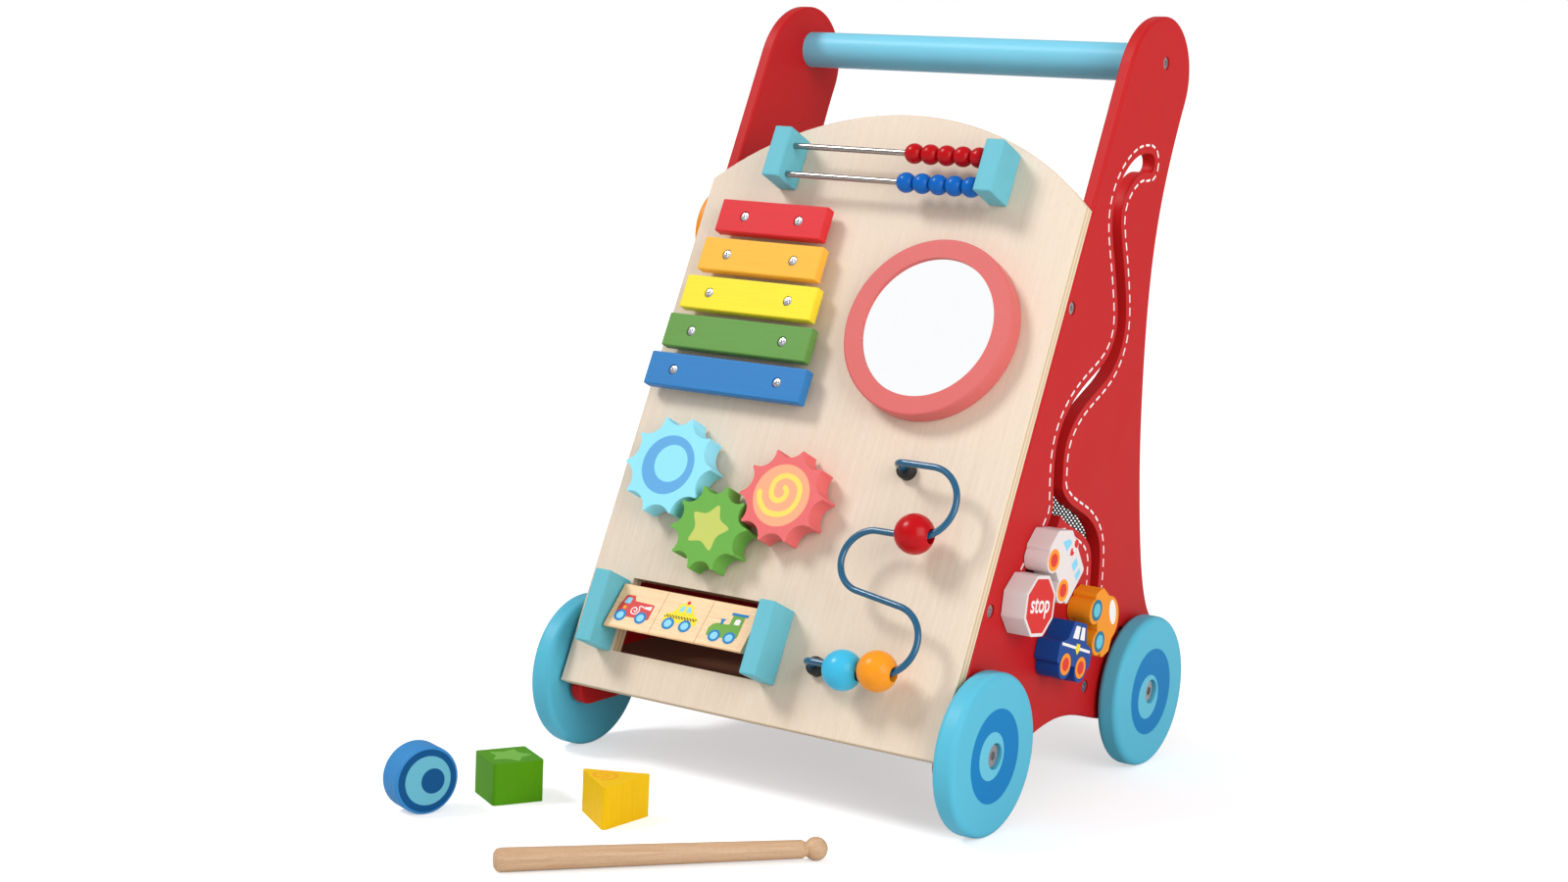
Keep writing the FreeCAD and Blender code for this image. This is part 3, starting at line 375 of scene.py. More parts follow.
# %% Directions on the board
slope = math.radians(24.75)
UP_BOARD = Vector((0, math.sin(slope), math.cos(slope)))
OUT_BOARD = Vector((0, -math.cos(slope), math.sin(slope)))
ACROSS = Vector((1, 0, 0))


def reach(node, direction):
    """How far a part reaches along a direction, from the origin."""
    return max(direction.dot(point.co) for point in nodes[node].data.vertices)


def axis_place(joint):
    """A point on the line that a joint turns about."""
    return Vector(joints[joint]["pos_m"])


board_face = reach("activity_board", OUT_BOARD)
print("board face lies", round(board_face, 4), "m out along its own normal")

# %% [markdown]
# ## Birch plywood
# The board is pale birch veneer under clear lacquer, with upright grain and small flecks.
# Broad patches of a warmer tone keep it from looking printed.

# %% Birch plywood: the face
birch, tree, shader, place = new_material("birch_plywood")
veneer = put(tree, "ShaderNodeGroup", {"Vector": place, "Along": UP_BOARD, "Length": 55 * mm,
                                       "Width": 2.1 * mm}, node_tree=grain).outputs
patches = put(tree, "ShaderNodeTexNoise", {"Vector": place, "Scale": 9.0, "Detail": 4.0}).outputs[0]
face_colour = mixed(tree, veneer["Streaks"], tint(219, 198, 174), tint(238, 223, 205))
face_colour = mixed(tree, sums(tree, "MULTIPLY", veneer["Pores"], 0.20), face_colour, tint(196, 160, 122))
face_colour = mixed(tree, spread(tree, patches, 0.42, 0.68, 0.0, 0.35), face_colour, tint(232, 209, 184))
tree.links.new(spread(tree, veneer["Streaks"], 0.0, 1.0, 0.44, 0.56), shader.inputs["Roughness"])
relief(tree, shader, veneer["Streaks"], 0.22, 0.3 * mm)
print("veneer streaks run along", [round(share, 2) for share in UP_BOARD])

# %% [markdown]
# ## The board's sawn edge
# A sawn edge shows the layers of the sheet. It is found from the surface direction: where
# that points away from the face, thin light and dark bands across the thickness take over.

# %% Birch plywood: the edge
ply_pair = 3.76 * mm
ply_start = 0.9

depth = sums(tree, "SUBTRACT", board_face, vectors(tree, "DOT_PRODUCT", place, OUT_BOARD))
wave = sums(tree, "SINE", sums(tree, "MULTIPLY_ADD", depth, 2 * math.pi / ply_pair, ply_start))
edge_colour = mixed(tree, spread(tree, wave, -0.2, 0.5), tint(216, 188, 150), tint(238, 218, 188))
facing = vectors(tree, "DOT_PRODUCT", put(tree, "ShaderNodeTexCoord").outputs["Normal"], OUT_BOARD)
on_edge = spread(tree, sums(tree, "ABSOLUTE", facing), 0.75, 0.55)
tree.links.new(mixed(tree, on_edge, face_colour, edge_colour), shader.inputs["Base Color"])
print("material made:", birch.name)

# %% [markdown]
# ## Bare wood
# The picture blocks and the beater are clear-lacquered wood, warmer than birch, with short
# brown flecks. Both use the grain group: along the rod for the beater, sideways for blocks.

# %% Material: bare wood
def bare_wood(name, light, dark, along, length, width, flecked):
    """Lacquered wood: two tones along the grain, and brown flecks where the pores are."""
    made, tree, shader, place = new_material(name)
    figure = put(tree, "ShaderNodeGroup", {"Vector": place, "Along": along, "Length": length,
                                           "Width": width}, node_tree=grain).outputs
    body = mixed(tree, spread(tree, figure["Streaks"], 0.3, 0.7), tint(*dark), tint(*light))
    spots = mixed(tree, sums(tree, "MULTIPLY", figure["Pores"], flecked), body, tint(168, 116, 76))
    tree.links.new(spots, shader.inputs["Base Color"])
    tree.links.new(spread(tree, figure["Streaks"], 0.0, 1.0, 0.40, 0.54), shader.inputs["Roughness"])
    relief(tree, shader, figure["Streaks"], 0.25, 0.3 * mm)
    return made


beater_lo, beater_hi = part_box("mallet")
beater_way = beater_hi - beater_lo
beater_way.z = 0
beater_way.normalize()
beech = bare_wood("beech_rod", (214, 178, 142), (193, 153, 117), beater_way, 45 * mm, 1.0 * mm, 0.45)
block_wood = bare_wood("block_wood", (252, 214, 166), (238, 190, 138), SIDEWAYS, 30 * mm, 1.6 * mm, 0.35)
print("beater points along", [round(share, 2) for share in beater_way])

# %% [markdown]
# ## Paint colours
# Flat parts that are cut from fibre board take no grain, so their films are smooth and even.
# Solid wood parts show a little grain through the colour. Beads are dipped, so they get a
# clear coat on top. The shelf is bare wood in the shade under the board: its dark brown is
# painted shade, and it shows the most grain.

# %% Materials: paints of the frame and the board
panel_red = painted("panel_red", (195, 27, 29), grain_share=0.0, gloss=0.46, clouds_share=0.05)
ring_red = painted("ring_red", (217, 108, 105), grain_share=0.1, gloss=0.34)
wheel_blue = painted("wheel_blue", (90, 188, 215), grain_share=0.0, gloss=0.40, clouds_share=0.04)
handle_blue = painted("handle_blue", (128, 210, 236), SIDEWAYS, 0.12, 0.36)
block_blue = painted("block_blue", (108, 190, 206), UP_BOARD, 0.28, 0.46)
dial_orange = painted("dial_orange", (250, 158, 40), UPRIGHT, 0.10, 0.40)
# The shelf's dark brown is painted shade: bare wood as it looks in the shade under the board.
shelf_painted_shade = painted("shelf_painted_shade", (124, 84, 66), SIDEWAYS, 0.75, 0.52, 0.12)
print("frame paints:", [paint.name for paint in (panel_red, wheel_blue, handle_blue, shelf_painted_shade)])

# %% Materials: paints of the toys
bar_paints = {name: painted("bar_" + name, colour, SIDEWAYS, 0.42, 0.40) for name, colour in {
    "red": (222, 48, 54), "orange": (251, 188, 66), "yellow": (253, 230, 54), "green": (104, 156, 76),
    "blue": (52, 128, 194)}.items()}
gear_paints = {name: painted("gear_" + name, colour, UP_BOARD, 0.22, 0.48) for name, colour in {
    "blue": (150, 230, 252), "green": (110, 176, 76), "red": (233, 112, 112)}.items()}
bead_paints = {name: painted("bead_" + name, colour, SIDEWAYS, 0.16, 0.32, 0.04, 0.15)
               for name, colour in {"red": (190, 2, 14), "blue": (0, 100, 188), "orange": (249, 154, 30),
                                    "light_blue": (64, 188, 228)}.items()}
vehicle_paints = {name: painted("vehicle_" + name, colour, UPRIGHT, 0.10, 0.42) for name, colour in {
    "white": (232, 222, 220), "orange": (246, 152, 30), "navy": (20, 72, 150)}.items()}
toy_blue = painted("toy_blue", (58, 138, 202), UPRIGHT, 0.35, 0.46)
toy_green = painted("toy_green", (80, 150, 0), UPRIGHT, 0.40, 0.46)
toy_yellow = painted("toy_yellow", (246, 196, 0), UPRIGHT, 0.40, 0.46)
print("toy paints:", len(bar_paints) + len(gear_paints) + len(bead_paints) + len(vehicle_paints),
      "and for the loose blocks", [paint.name for paint in (toy_blue, toy_green, toy_yellow)])

# %% [markdown]
# ## Fine scratches
# Worn metal and plastic carry fine marks that run one way, which smear a highlight a little.
# They are the grain group again, much narrower, and feed the roughness and a slight relief.

# %% Group: fine scratches
mark_roughness = 0.16
scratches, given, result = new_group(
    "fine_scratches", [("Vector", VECTOR, None), ("Along", VECTOR, (1, 0, 0)), ("Base", NUMBER, 0.2)],
    [("Roughness", NUMBER), ("Height", NUMBER)])
marks = put(scratches, "ShaderNodeGroup", {"Vector": given["Vector"], "Along": given["Along"],
                                           "Length": 20 * mm, "Width": 0.3 * mm}, node_tree=grain)
scratches.links.new(sums(scratches, "MULTIPLY_ADD", marks.outputs["Streaks"], mark_roughness, given["Base"]),
                    result["Roughness"])
scratches.links.new(marks.outputs["Streaks"], result["Height"])
print("group made:", scratches.name)

# %% [markdown]
# ## Metal, glass, rubber and plastic
# Rods are polished steel, screws are zinc with fine turning marks, and the bent wire wears a
# glossy blue sleeve. A metal's colour comes from its base colour with metallic at one; its
# character comes from small changes in roughness. The mirror is a metal too, but perfectly
# smooth and even, because the least roughness would cloud what it shows.

# %% Materials: metals and plastics
def scratched(name, colour, base, metallic, along=SIDEWAYS, strength=0.08, coat=0.0, mirrored=False):
    """A worn surface, or a perfect mirror that leaves the scratches out."""
    made, tree, shader, place = new_material(name)
    dusty = put(tree, "ShaderNodeTexNoise", {"Vector": place, "Scale": 220.0, "Detail": 2.0}).outputs[0]
    dull = [step * (0.99 if mirrored else 0.92) for step in colour]
    tree.links.new(mixed(tree, dusty, tint(*dull), tint(*colour)), shader.inputs["Base Color"])
    if mirrored:
        shader.inputs["Roughness"].default_value = 0.0
    else:
        marks = put(tree, "ShaderNodeGroup", {"Vector": place, "Along": along, "Base": base},
                    node_tree=scratches).outputs
        tree.links.new(marks["Roughness"], shader.inputs["Roughness"])
        relief(tree, shader, marks["Height"], strength, 0.1 * mm)
    shader.inputs["Metallic"].default_value = metallic
    shader.inputs["Coat Weight"].default_value = coat
    return made


steel_rod = scratched("steel_rod", (172, 164, 160), 0.16, 1.0)
zinc = scratched("zinc_screw", (196, 196, 200), 0.22, 1.0, strength=0.2)
mirror_sheet = scratched("mirror_sheet", (252, 253, 254), 0.0, 1.0, mirrored=True)
wire_sleeve = scratched("wire_sleeve", (0, 91, 130), 0.16, 0.0, coat=0.5)
black_rubber = scratched("black_rubber", (24, 26, 30), 0.48, 0.0, strength=0.15)
clear_nylon = scratched("clear_nylon", (226, 224, 216), 0.36, 0.0)
print("smooth as glass:", mirror_sheet.name)

# %% [markdown]
# ## Dress the CAD parts
# A CAD part keeps its mesh and gets its finish by filling its material slots. The table
# below is the paint list of the toy; parts that come in colours are found by their names. Two
# parts in it, the net and the bar screws, are later hidden behind more detailed pieces.

# %% Finishes on the CAD parts
finishes = {
    "left_panel": panel_red, "right_panel": panel_red, "cross_rails": panel_red, "rear_rail": panel_red,
    "handle_bar": handle_blue, "bottom_shelf": shelf_painted_shade, "activity_board": birch,
    "frame_screws": zinc, "wheel_bolts": zinc, "wheel_washers": clear_nylon, "dial_screw": zinc,
    "xylophone_spacers": clear_nylon, "abacus_blocks": block_blue, "roller_blocks": block_blue,
    "abacus_rods": steel_rod, "roller_rod": steel_rod, "mirror_ring": ring_red, "mirror": mirror_sheet,
    "gear_pins": block_wood, "bead_wire": wire_sleeve, "wire_caps": black_rubber, "dial": dial_orange,
    "vehicle_ambulance": vehicle_paints["white"], "vehicle_stop_sign": vehicle_paints["white"],
    "vehicle_orange_car": vehicle_paints["orange"], "vehicle_police_car": vehicle_paints["navy"],
    "round_block": toy_blue, "square_block": toy_green, "triangle_block": toy_yellow, "mallet": beech,
    "storage_net": panel_red, "xylophone_screws": zinc}
for name in nodes:
    if name.startswith("wheel_") and name not in finishes:
        finishes[name] = wheel_blue
    elif name.startswith("xylophone_bar_"):
        finishes[name] = bar_paints[name.removeprefix("xylophone_bar_")]
    elif name.startswith("gear_") and name != "gear_pins":
        finishes[name] = gear_paints[name.removeprefix("gear_")]
    elif name.startswith("abacus_bead_"):
        finishes[name] = bead_paints[name.split("_")[2]]
    elif name.startswith("maze_bead_"):
        finishes[name] = bead_paints[name.removeprefix("maze_bead_")]
    elif name.startswith("picture_block_"):
        finishes[name] = block_wood


def dress(thing, material):
    """Gives a part one finish all over."""
    if not thing.data.materials:
        thing.data.materials.append(material)
    for slot in thing.material_slots:
        slot.material = material


for name, thing in nodes.items():
    dress(thing, finishes[name])
print("parts dressed:", len(finishes))

# %% [markdown]
# ## Prints
# Toy prints are thin layers of ink with crisp edges. A picture texture would blur close up,
# so each print is real geometry: flat outlines, a tenth of a millimetre thick, one stacked on
# another. An outline is a list of points; corners can be rounded and strokes can be widened.

# %% Outlines: ovals, rounded corners and stars
def oval(x, y, wide, high=None, steps=40):
    """Points round a circle, or round an oval where a second half-size is given."""
    high = wide if high is None else high
    return [(x + wide * math.cos(2 * math.pi * k / steps), y + high * math.sin(2 * math.pi * k / steps))
            for k in range(steps)]


def softened(corners, radius, steps=4):
    """An outline with each corner replaced by a short arc-like bend."""
    points = []
    for k, corner in enumerate(corners):
        here = Vector(corner)
        before, after = Vector(corners[k - 1]) - here, Vector(corners[(k + 1) % len(corners)]) - here
        start = here + before.normalized() * min(radius, before.length * 0.45)
        end = here + after.normalized() * min(radius, after.length * 0.45)
        for step in range(steps + 1):
            t = step / steps
            point = start * (1 - t) ** 2 + here * 2 * t * (1 - t) + end * t ** 2
            points.append((point.x, point.y))
    return points


def star_shape(x, y, outer, inner, turn, points=5, radius=2.0):
    """A star with rounded tips, its first tip turned so many degrees from the right."""
    corners = []
    for k in range(2 * points):
        size, a = (outer, inner)[k % 2], math.radians(turn) + math.pi * k / points
        corners.append((x + size * math.cos(a), y + size * math.sin(a)))
    return softened(corners, radius)


print("a softened square has", len(softened([(0, 0), (1, 0), (1, 1), (0, 1)], 0.2)), "points")

# %% [markdown]
# ## Brush lines
# A spiral or a hose is easier to draw as one line than as an outline. The line is made smooth
# through a few chosen points, then widened to both sides, and its ends are rounded.

# %% Outlines: smooth lines and strokes
ROUND_END = (0.8, 1.57, 2.34)


def stroke(points, width):
    """The outline of a line of even width with round ends."""
    half, line = width / 2, [Vector(point) for point in points]
    left, right = [], []
    for k, here in enumerate(line):
        way = (line[min(k + 1, len(line) - 1)] - line[max(k - 1, 0)]).normalized()
        side = Vector((-way.y, way.x)) * half
        left.append(here + side)
        right.append(here - side)
    way = (line[-1] - line[-2]).normalized()
    back = (line[0] - line[1]).normalized()
    cap = [line[-1] + way * half * math.sin(a) + Vector((-way.y, way.x)) * half * math.cos(a)
           for a in ROUND_END]
    tail = [line[0] + back * half * math.sin(a) + Vector((-back.y, back.x)) * half * math.cos(a)
            for a in ROUND_END]
    return [(p.x, p.y) for p in left + cap + right[::-1] + tail]


def smooth_line(points, steps=5):
    """More points on a smooth curve through the given ones."""
    line = [Vector(point) for point in points]
    line = [line[0] * 2 - line[1]] + line + [line[-1] * 2 - line[-2]]
    made = []
    for k in range(1, len(line) - 2):
        a, b, c, d = line[k - 1:k + 3]
        for step in range(steps):
            t = step / steps
            made.append(0.5 * (2 * b + (c - a) * t + (2 * a - 5 * b + 4 * c - d) * t ** 2
                               + (3 * b - a - 3 * c + d) * t ** 3))
    return [(p.x, p.y) for p in made + [line[-2]]]


print("a smooth line through 4 points has", len(smooth_line([(0, 0), (1, 1), (2, 0), (3, 1)])), "points")

# %% [markdown]
# ## Inks
# Inks are paints with hardly any grain. Each is mixed once, and the drawings name them.

# %% Materials: inks
inks = {name: painted("ink_" + name, colour, UPRIGHT, 0.05, 0.44, 0.04) for name, colour in {
    "mid_blue": (0, 126, 190), "light_blue": (104, 196, 220), "sky": (140, 212, 240),
    "gear_ring": (100, 172, 226), "lime": (200, 208, 106), "peach": (255, 174, 134), "sun": (255, 220, 104),
    "white": (246, 242, 240), "red": (218, 46, 42), "fire_red": (214, 62, 60), "orange": (252, 152, 32),
    "deep_orange": (226, 58, 44), "teal": (30, 120, 150), "yellow": (252, 222, 30), "black": (34, 32, 30),
    "train_green": (106, 166, 56), "dark_blue": (0, 80, 136), "block_sky": (104, 182, 204),
    "leaf": (118, 182, 66), "amber": (246, 170, 30)}.items()}
print("inks mixed:", len(inks))

# %% [markdown]
# ## From a drawing to a print
# A print is drawn flat, in millimetres, on a page that is then laid on the part. Each layer
# becomes a thin closed slab. It starts just under the part's surface, so that no gap shows
# below it, and a layer drawn over another ends one step higher.

# %% Prints as thin solid layers
INK_LIFT = 0.02 * mm
INK_STEP = 0.06 * mm


def axes_at(origin, across, up):
    """The matrix of a flat drawing board: x across, y up, z out of the page."""
    across, up = Vector(across).normalized(), Vector(up).normalized()
    return Matrix.Translation(origin) @ Matrix((across, up, across.cross(up))).transposed().to_4x4()


def flat_print(name, body, layers, page):
    """Layers are (ink, outline or (outer, inner) pair, in mm, step). Each becomes a thin slab."""
    mesh, shape = bpy.data.meshes.new(name), bmesh.new()
    used = []
    for ink_name, outline, step in layers:
        if ink_name not in used:
            used.append(ink_name)
        low, high = INK_LIFT - INK_STEP, INK_LIFT + INK_STEP * (step + 1)
        rings = outline if isinstance(outline, tuple) else (outline,)
        loops = [[[shape.verts.new((x * mm, y * mm, level)) for x, y in ring] for level in (low, high)]
                 for ring in rings]
        faces = []
        if len(rings) == 1:
            faces += [shape.faces.new(loops[0][0][::-1]), shape.faces.new(loops[0][1])]
        else:
            for level in (0, 1):
                outer, inner = loops[0][level], loops[1][level]
                faces += [shape.faces.new((outer[k - 1], outer[k], inner[k], inner[k - 1]))
                          for k in range(len(outer))]
        for lower, upper in loops:
            faces += [shape.faces.new((lower[k - 1], lower[k], upper[k], upper[k - 1]))
                      for k in range(len(lower))]
        for face in faces:
            face.material_index = used.index(ink_name)
    bmesh.ops.transform(shape, matrix=page, verts=shape.verts)
    bmesh.ops.recalc_face_normals(shape, faces=shape.faces)
    bmesh.ops.triangulate(shape, faces=shape.faces)
    shape.to_mesh(mesh)
    shape.free()
    piece = bpy.data.objects.new(name, mesh)
    for ink_name in used:
        mesh.materials.append(inks[ink_name])
    scene.collection.objects.link(piece)
    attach(piece, body)
    return piece


print("the lowest layer stands", round((INK_LIFT + INK_STEP) / mm, 3), "mm proud")

# %% [markdown]
# ## Wheel prints
# Each wheel has a mid-blue disc, and in it a light disc that sits off centre on purpose, so
# that the wheel is seen to turn. The bolt's recess is left open by printing rings, not discs.

# %% Prints on the wheels
recess_radius, disc_radius, light_radius = 8.3, 28.8, 14.7
wheel_turns = {"front_right": (-4.2, 0.8), "rear_right": (-3.8, -2.9), "front_left": (3.0, 3.4),
               "rear_left": (-1.5, 4.2)}
for name, (shift_back, shift_up) in wheel_turns.items():
    side = 1 if name.endswith("right") else -1
    node = "wheel_" + name
    centre = axis_place(node + "_spin")
    centre.x = side * reach(node, ACROSS * side)
    page = axes_at(centre, (0, side, 0), (0, 0, 1))
    recess = oval(0, 0, recess_radius, steps=72)
    flat_print(node + "_print", node, [
        ("mid_blue", (oval(0, 0, disc_radius, steps=72), recess), 0),
        ("light_blue", (oval(side * shift_back, shift_up, light_radius, steps=72), recess), 1)], page)
print("wheel prints:", len(wheel_turns))

# %% [markdown]
# ## Gear prints
# A ring, a star and a spiral make the three gears easy to tell apart when they spin. The
# spiral is one smooth line through a few chosen points, widened into a stroke.

# %% Prints on the gears
def gear_page(name):
    """The page on a gear's outer face, round its own centre."""
    centre = axis_place(f"gear_{name}_spin")
    lift = reach(f"gear_{name}", OUT_BOARD) - centre.dot(OUT_BOARD)
    return axes_at(centre + OUT_BOARD * lift, ACROSS, UP_BOARD)


spiral_path = smooth_line([(-16.2, 0.4), (-14.3, -5.4), (-8, -11.3), (1.4, -12.3), (9.3, -8.5), (12.8, -0.3),
                           (11.5, 7.4), (6, 12), (-1, 12.8), (-6.7, 9.1), (-7.9, 2.4), (-5.8, -2.2),
                           (-1.4, -3.6), (2.4, -1.5), (3.4, 2.6), (1.4, 5.2)])
flat_print("gear_blue_print", "gear_blue", [
    ("gear_ring", (oval(0, 0, 19.9, steps=64), oval(1.9, 1.2, 12.6, steps=64)), 0)], gear_page("blue"))
flat_print("gear_green_print", "gear_green", [
    ("lime", star_shape(0, 0, 17.0, 9.2, 76, radius=3.2), 0)], gear_page("green"))
flat_print("gear_red_print", "gear_red", [
    ("peach", oval(0, 0, 20.3, steps=64), 0), ("sun", stroke(spiral_path, 3.6), 1)], gear_page("red"))
print("gear spiral points:", len(spiral_path))

# %% [markdown]
# ## Picture blocks
# The three roller blocks carry a fire engine, a taxi and a train. Each is a handful of
# simple shapes: body, windows, wheels with a light hub. The blocks have three faces, so the
# same three drawings go round them in turn and can be mixed by rolling the blocks.

# %% Drawings for the picture blocks
def road_wheels(places, size, rim="mid_blue", hub="sky", share=0.62):
    """Wheels of a drawn vehicle: a rim and, drawn over it, a hub of that share of its size."""
    shapes = []
    for x, y in places:
        shapes += [(rim, oval(x, y, size, steps=28), 2), (hub, oval(x, y, size * share, steps=28), 3)]
    return shapes


fire_engine = [
    ("fire_red", softened([(4.3, 9.6), (4.0, 16.2), (6.4, 25.3), (13.0, 25.6), (14.4, 21.8), (30.2, 21.2),
                           (30.6, 9.8)], 1.1), 0),
    ("sky", softened([(6.6, 19.2), (7.9, 23.6), (11.6, 23.6), (11.4, 19.2)], 0.6), 1),
    ("amber", oval(8.9, 16.2, 1.3, steps=20), 1),
    ("white", stroke(smooth_line([(17.0, 14.8), (18.2, 14.4), (18.9, 15.6), (18.0, 17.0), (16.2, 17.1),
                                  (15.0, 15.6), (15.4, 13.4), (17.4, 12.4), (19.8, 13.2), (20.8, 15.6),
                                  (19.8, 18.2), (21.2, 18.8), (23.8, 17.9)]), 0.75), 1),
    ("white", [(23.2, 18.6), (29.0, 19.9), (29.0, 16.9), (23.2, 17.6)], 1),
] + road_wheels([(8.6, 10.0), (24.4, 10.4)], 4.3)
taxi = [
    ("yellow", softened([(4.8, 12.0), (4.8, 17.2), (10.6, 19.6), (12.8, 25.2), (15.0, 26.8), (21.0, 26.8),
                         (23.4, 25.0), (25.6, 19.9), (30.2, 17.6), (30.2, 12.2)], 1.4), 0),
    ("sky", softened([(13.4, 20.6), (14.8, 24.8), (17.2, 24.8), (17.2, 20.6)], 0.6), 1),
    ("sky", softened([(19.0, 20.6), (19.0, 24.8), (21.6, 24.8), (23.2, 20.6)], 0.6), 1),
    ("red", oval(18.1, 27.6, 1.3, steps=20), 1),
] + [("black", [(x, y), (x + 1.05, y), (x + 1.05, y + 1.05), (x, y + 1.05)], 1)
     for row, y in enumerate((15.0, 16.1)) for x in [5.3 + 2.2 * k + 1.1 * row for k in range(11)]
     ] + road_wheels([(10.4, 10.6), (23.2, 10.8)], 4.4)
train = [
    ("train_green", softened([(5.2, 8.0), (4.6, 13.4), (6.4, 16.6), (9.4, 17.9), (18.2, 17.9), (18.2, 25.2),
                              (27.0, 25.2), (28.0, 9.8), (25.6, 8.0)], 1.0), 0),
    ("mid_blue", softened([(16.6, 24.9), (16.6, 26.9), (28.9, 26.9), (28.9, 24.9)], 0.5), 1),
    ("mid_blue", softened([(10.4, 21.4), (14.4, 21.4), (13.4, 19.4), (13.4, 17.4), (11.4, 17.4),
                           (11.4, 19.4)], 0.4), 0),
    ("white", softened([(21.2, 18.6), (21.2, 21.8), (22.0, 22.8), (24.4, 22.8), (25.2, 21.8), (25.2, 18.6)],
                       0.5), 1),
] + road_wheels([(11.4, 8.6), (22.6, 8.8)], 4.3)
drawings = [fire_engine, taxi, train]
print("layers in the drawings:", [len(drawing) for drawing in drawings])

# %% [markdown]
# ## Drawings on the roller
# Each block has three flat faces, and is rolled back a little from facing straight out. A
# face's outward direction comes from that turn, and the block's own reach along it says where
# the face lies.

# %% Drawings on the faces of the roller
face_side, lean_back = 34.1, 18.4
for number in (1, 2, 3):
    node = f"picture_block_{number}"
    axis = axis_place(node + "_spin")
    left = -reach(node, -ACROSS)
    for face in range(3):
        turn = math.radians(90 - lean_back + 120 * face)
        outward = UP_BOARD * math.cos(turn) + OUT_BOARD * math.sin(turn)
        upward = UP_BOARD * math.sin(turn) - OUT_BOARD * math.cos(turn)
        lift = reach(node, outward) - axis.dot(outward)
        corner = Vector((left, axis.y, axis.z)) + outward * lift - upward * (face_side / 2 * mm)
        flat_print(f"{node}_picture_{face + 1}", node, drawings[(number - 1 + face) % 3],
                   axes_at(corner, ACROSS, upward))

# %% [markdown]
# ## Vehicles on the road
# Four flat wooden vehicles ride in the slot. Their prints are drawn in each vehicle's own
# directions, forward and up, and the page is then turned as the vehicle stands on the road.

# %% The pages on the vehicles
front_axle = axis_place("wheel_front_right_spin").y
panel_face = reach("right_panel", ACROSS)


def vehicle_page(name, back, height, turn, mirrored):
    """A vehicle's page: so far behind the front axle, so high, and turned as it stands.

    A mirrored page has its up side down, and its layers still rise outwards.
    """
    turn = math.radians(turn)
    forward = Vector((0, math.cos(turn), math.sin(turn)))
    up = Vector((0, -math.sin(turn), math.cos(turn))) * (-1 if mirrored else 1)
    face = reach("vehicle_" + name, ACROSS)
    page = axes_at(Vector((face, front_axle + back * mm, height * mm)), forward, up)
    if mirrored:
        for row in range(3):
            page[row][2] = -page[row][2]
    return page


print("front axle at", round(front_axle, 4), "and panel face at", round(panel_face, 4))

# %% Prints on the ambulance and the two cars
heart = softened([(3.2, 6.6), (6.0, 9.8), (5.0, 12.0), (3.2, 10.8), (1.4, 12.0), (0.4, 9.8)], 1.1)
flat_print("vehicle_ambulance_print", "vehicle_ambulance", [
    ("sky", softened([(8.4, 4.6), (17.0, 4.0), (12.4, 11.8), (8.4, 12.6)], 0.8), 0),
    ("sky", softened([(-9.4, 5.6), (-3.6, 5.6), (-3.6, 12.4), (-9.4, 12.4)], 0.6), 0),
    ("sky", softened([(-17.2, 5.6), (-12.4, 5.6), (-12.4, 12.4), (-16.2, 12.4)], 0.6), 0),
    ("red", heart, 0), ("red", oval(4, 16.9, 2.7, steps=24), 0),
] + road_wheels([(14.8, -10.6), (-10.3, -10.6)], 6.9, "orange", "deep_orange"),
    vehicle_page("ambulance", 79.0, 153.5, 124.0, True))
flat_print("vehicle_orange_car_print", "vehicle_orange_car",
           [("white", oval(0.4, 11.4, 8.6, 4.4), 0)]
           + road_wheels([(11.1, -9.0), (-11.1, -9.0)], 6.9, "teal", "light_blue", 0.66),
           vehicle_page("orange_car", 136.5, 110.5, 106.0, True))
flat_print("vehicle_police_car_print", "vehicle_police_car", [
    ("white", softened([(-7.2, 7.4), (0.9, 7.4), (0.9, 15.4), (-5.0, 15.4)], 0.7), 0),
    ("white", softened([(3.2, 7.4), (9.6, 7.4), (7.6, 15.4), (3.2, 15.4)], 0.7), 0),
    ("white", [(-20.0, 1.6), (20.0, 0.4), (20.0, 2.2), (-20.0, 3.4)], 0),
    ("yellow", softened([(0.0, 4.6), (4.6, 4.6), (5.0, 0.8), (2.3, -2.4), (-0.4, 0.8)], 0.6), 1),
] + road_wheels([(-10.8, -9.6), (10.8, -9.6)], 6.9, "orange", "deep_orange"),
    vehicle_page("police_car", 98.6, 97.0, -16.0, False))
vehicle_prints = [thing.name for thing in scene.objects if thing.name.startswith("vehicle_")
                  and thing.name.endswith("_print")]
print("vehicles printed:", len(vehicle_prints))

# %% The octagon on the road sign
sign_radius = 17.9
sign_turns = [math.radians(22.5 + 45 * k) for k in range(8)]
octagon = [(sign_radius * math.cos(turn), sign_radius * math.sin(turn)) for turn in sign_turns]
sign_page = vehicle_page("stop_sign", 47.4, 133.6, -8.0, False)
flat_print("vehicle_stop_sign_print", "vehicle_stop_sign", [("red", octagon, 0)], sign_page)
print("sign measures", 2 * sign_radius, "mm across its corners")

# %% [markdown]
# ## The word on the road sign
# The octagon is an ordinary road sign, so it says "stop". Blender's text object gives clean
# letters. It is turned into a mesh first, stretched a little to the sign's tall, wide lettering
# and then placed, so that its object stays at the origin.

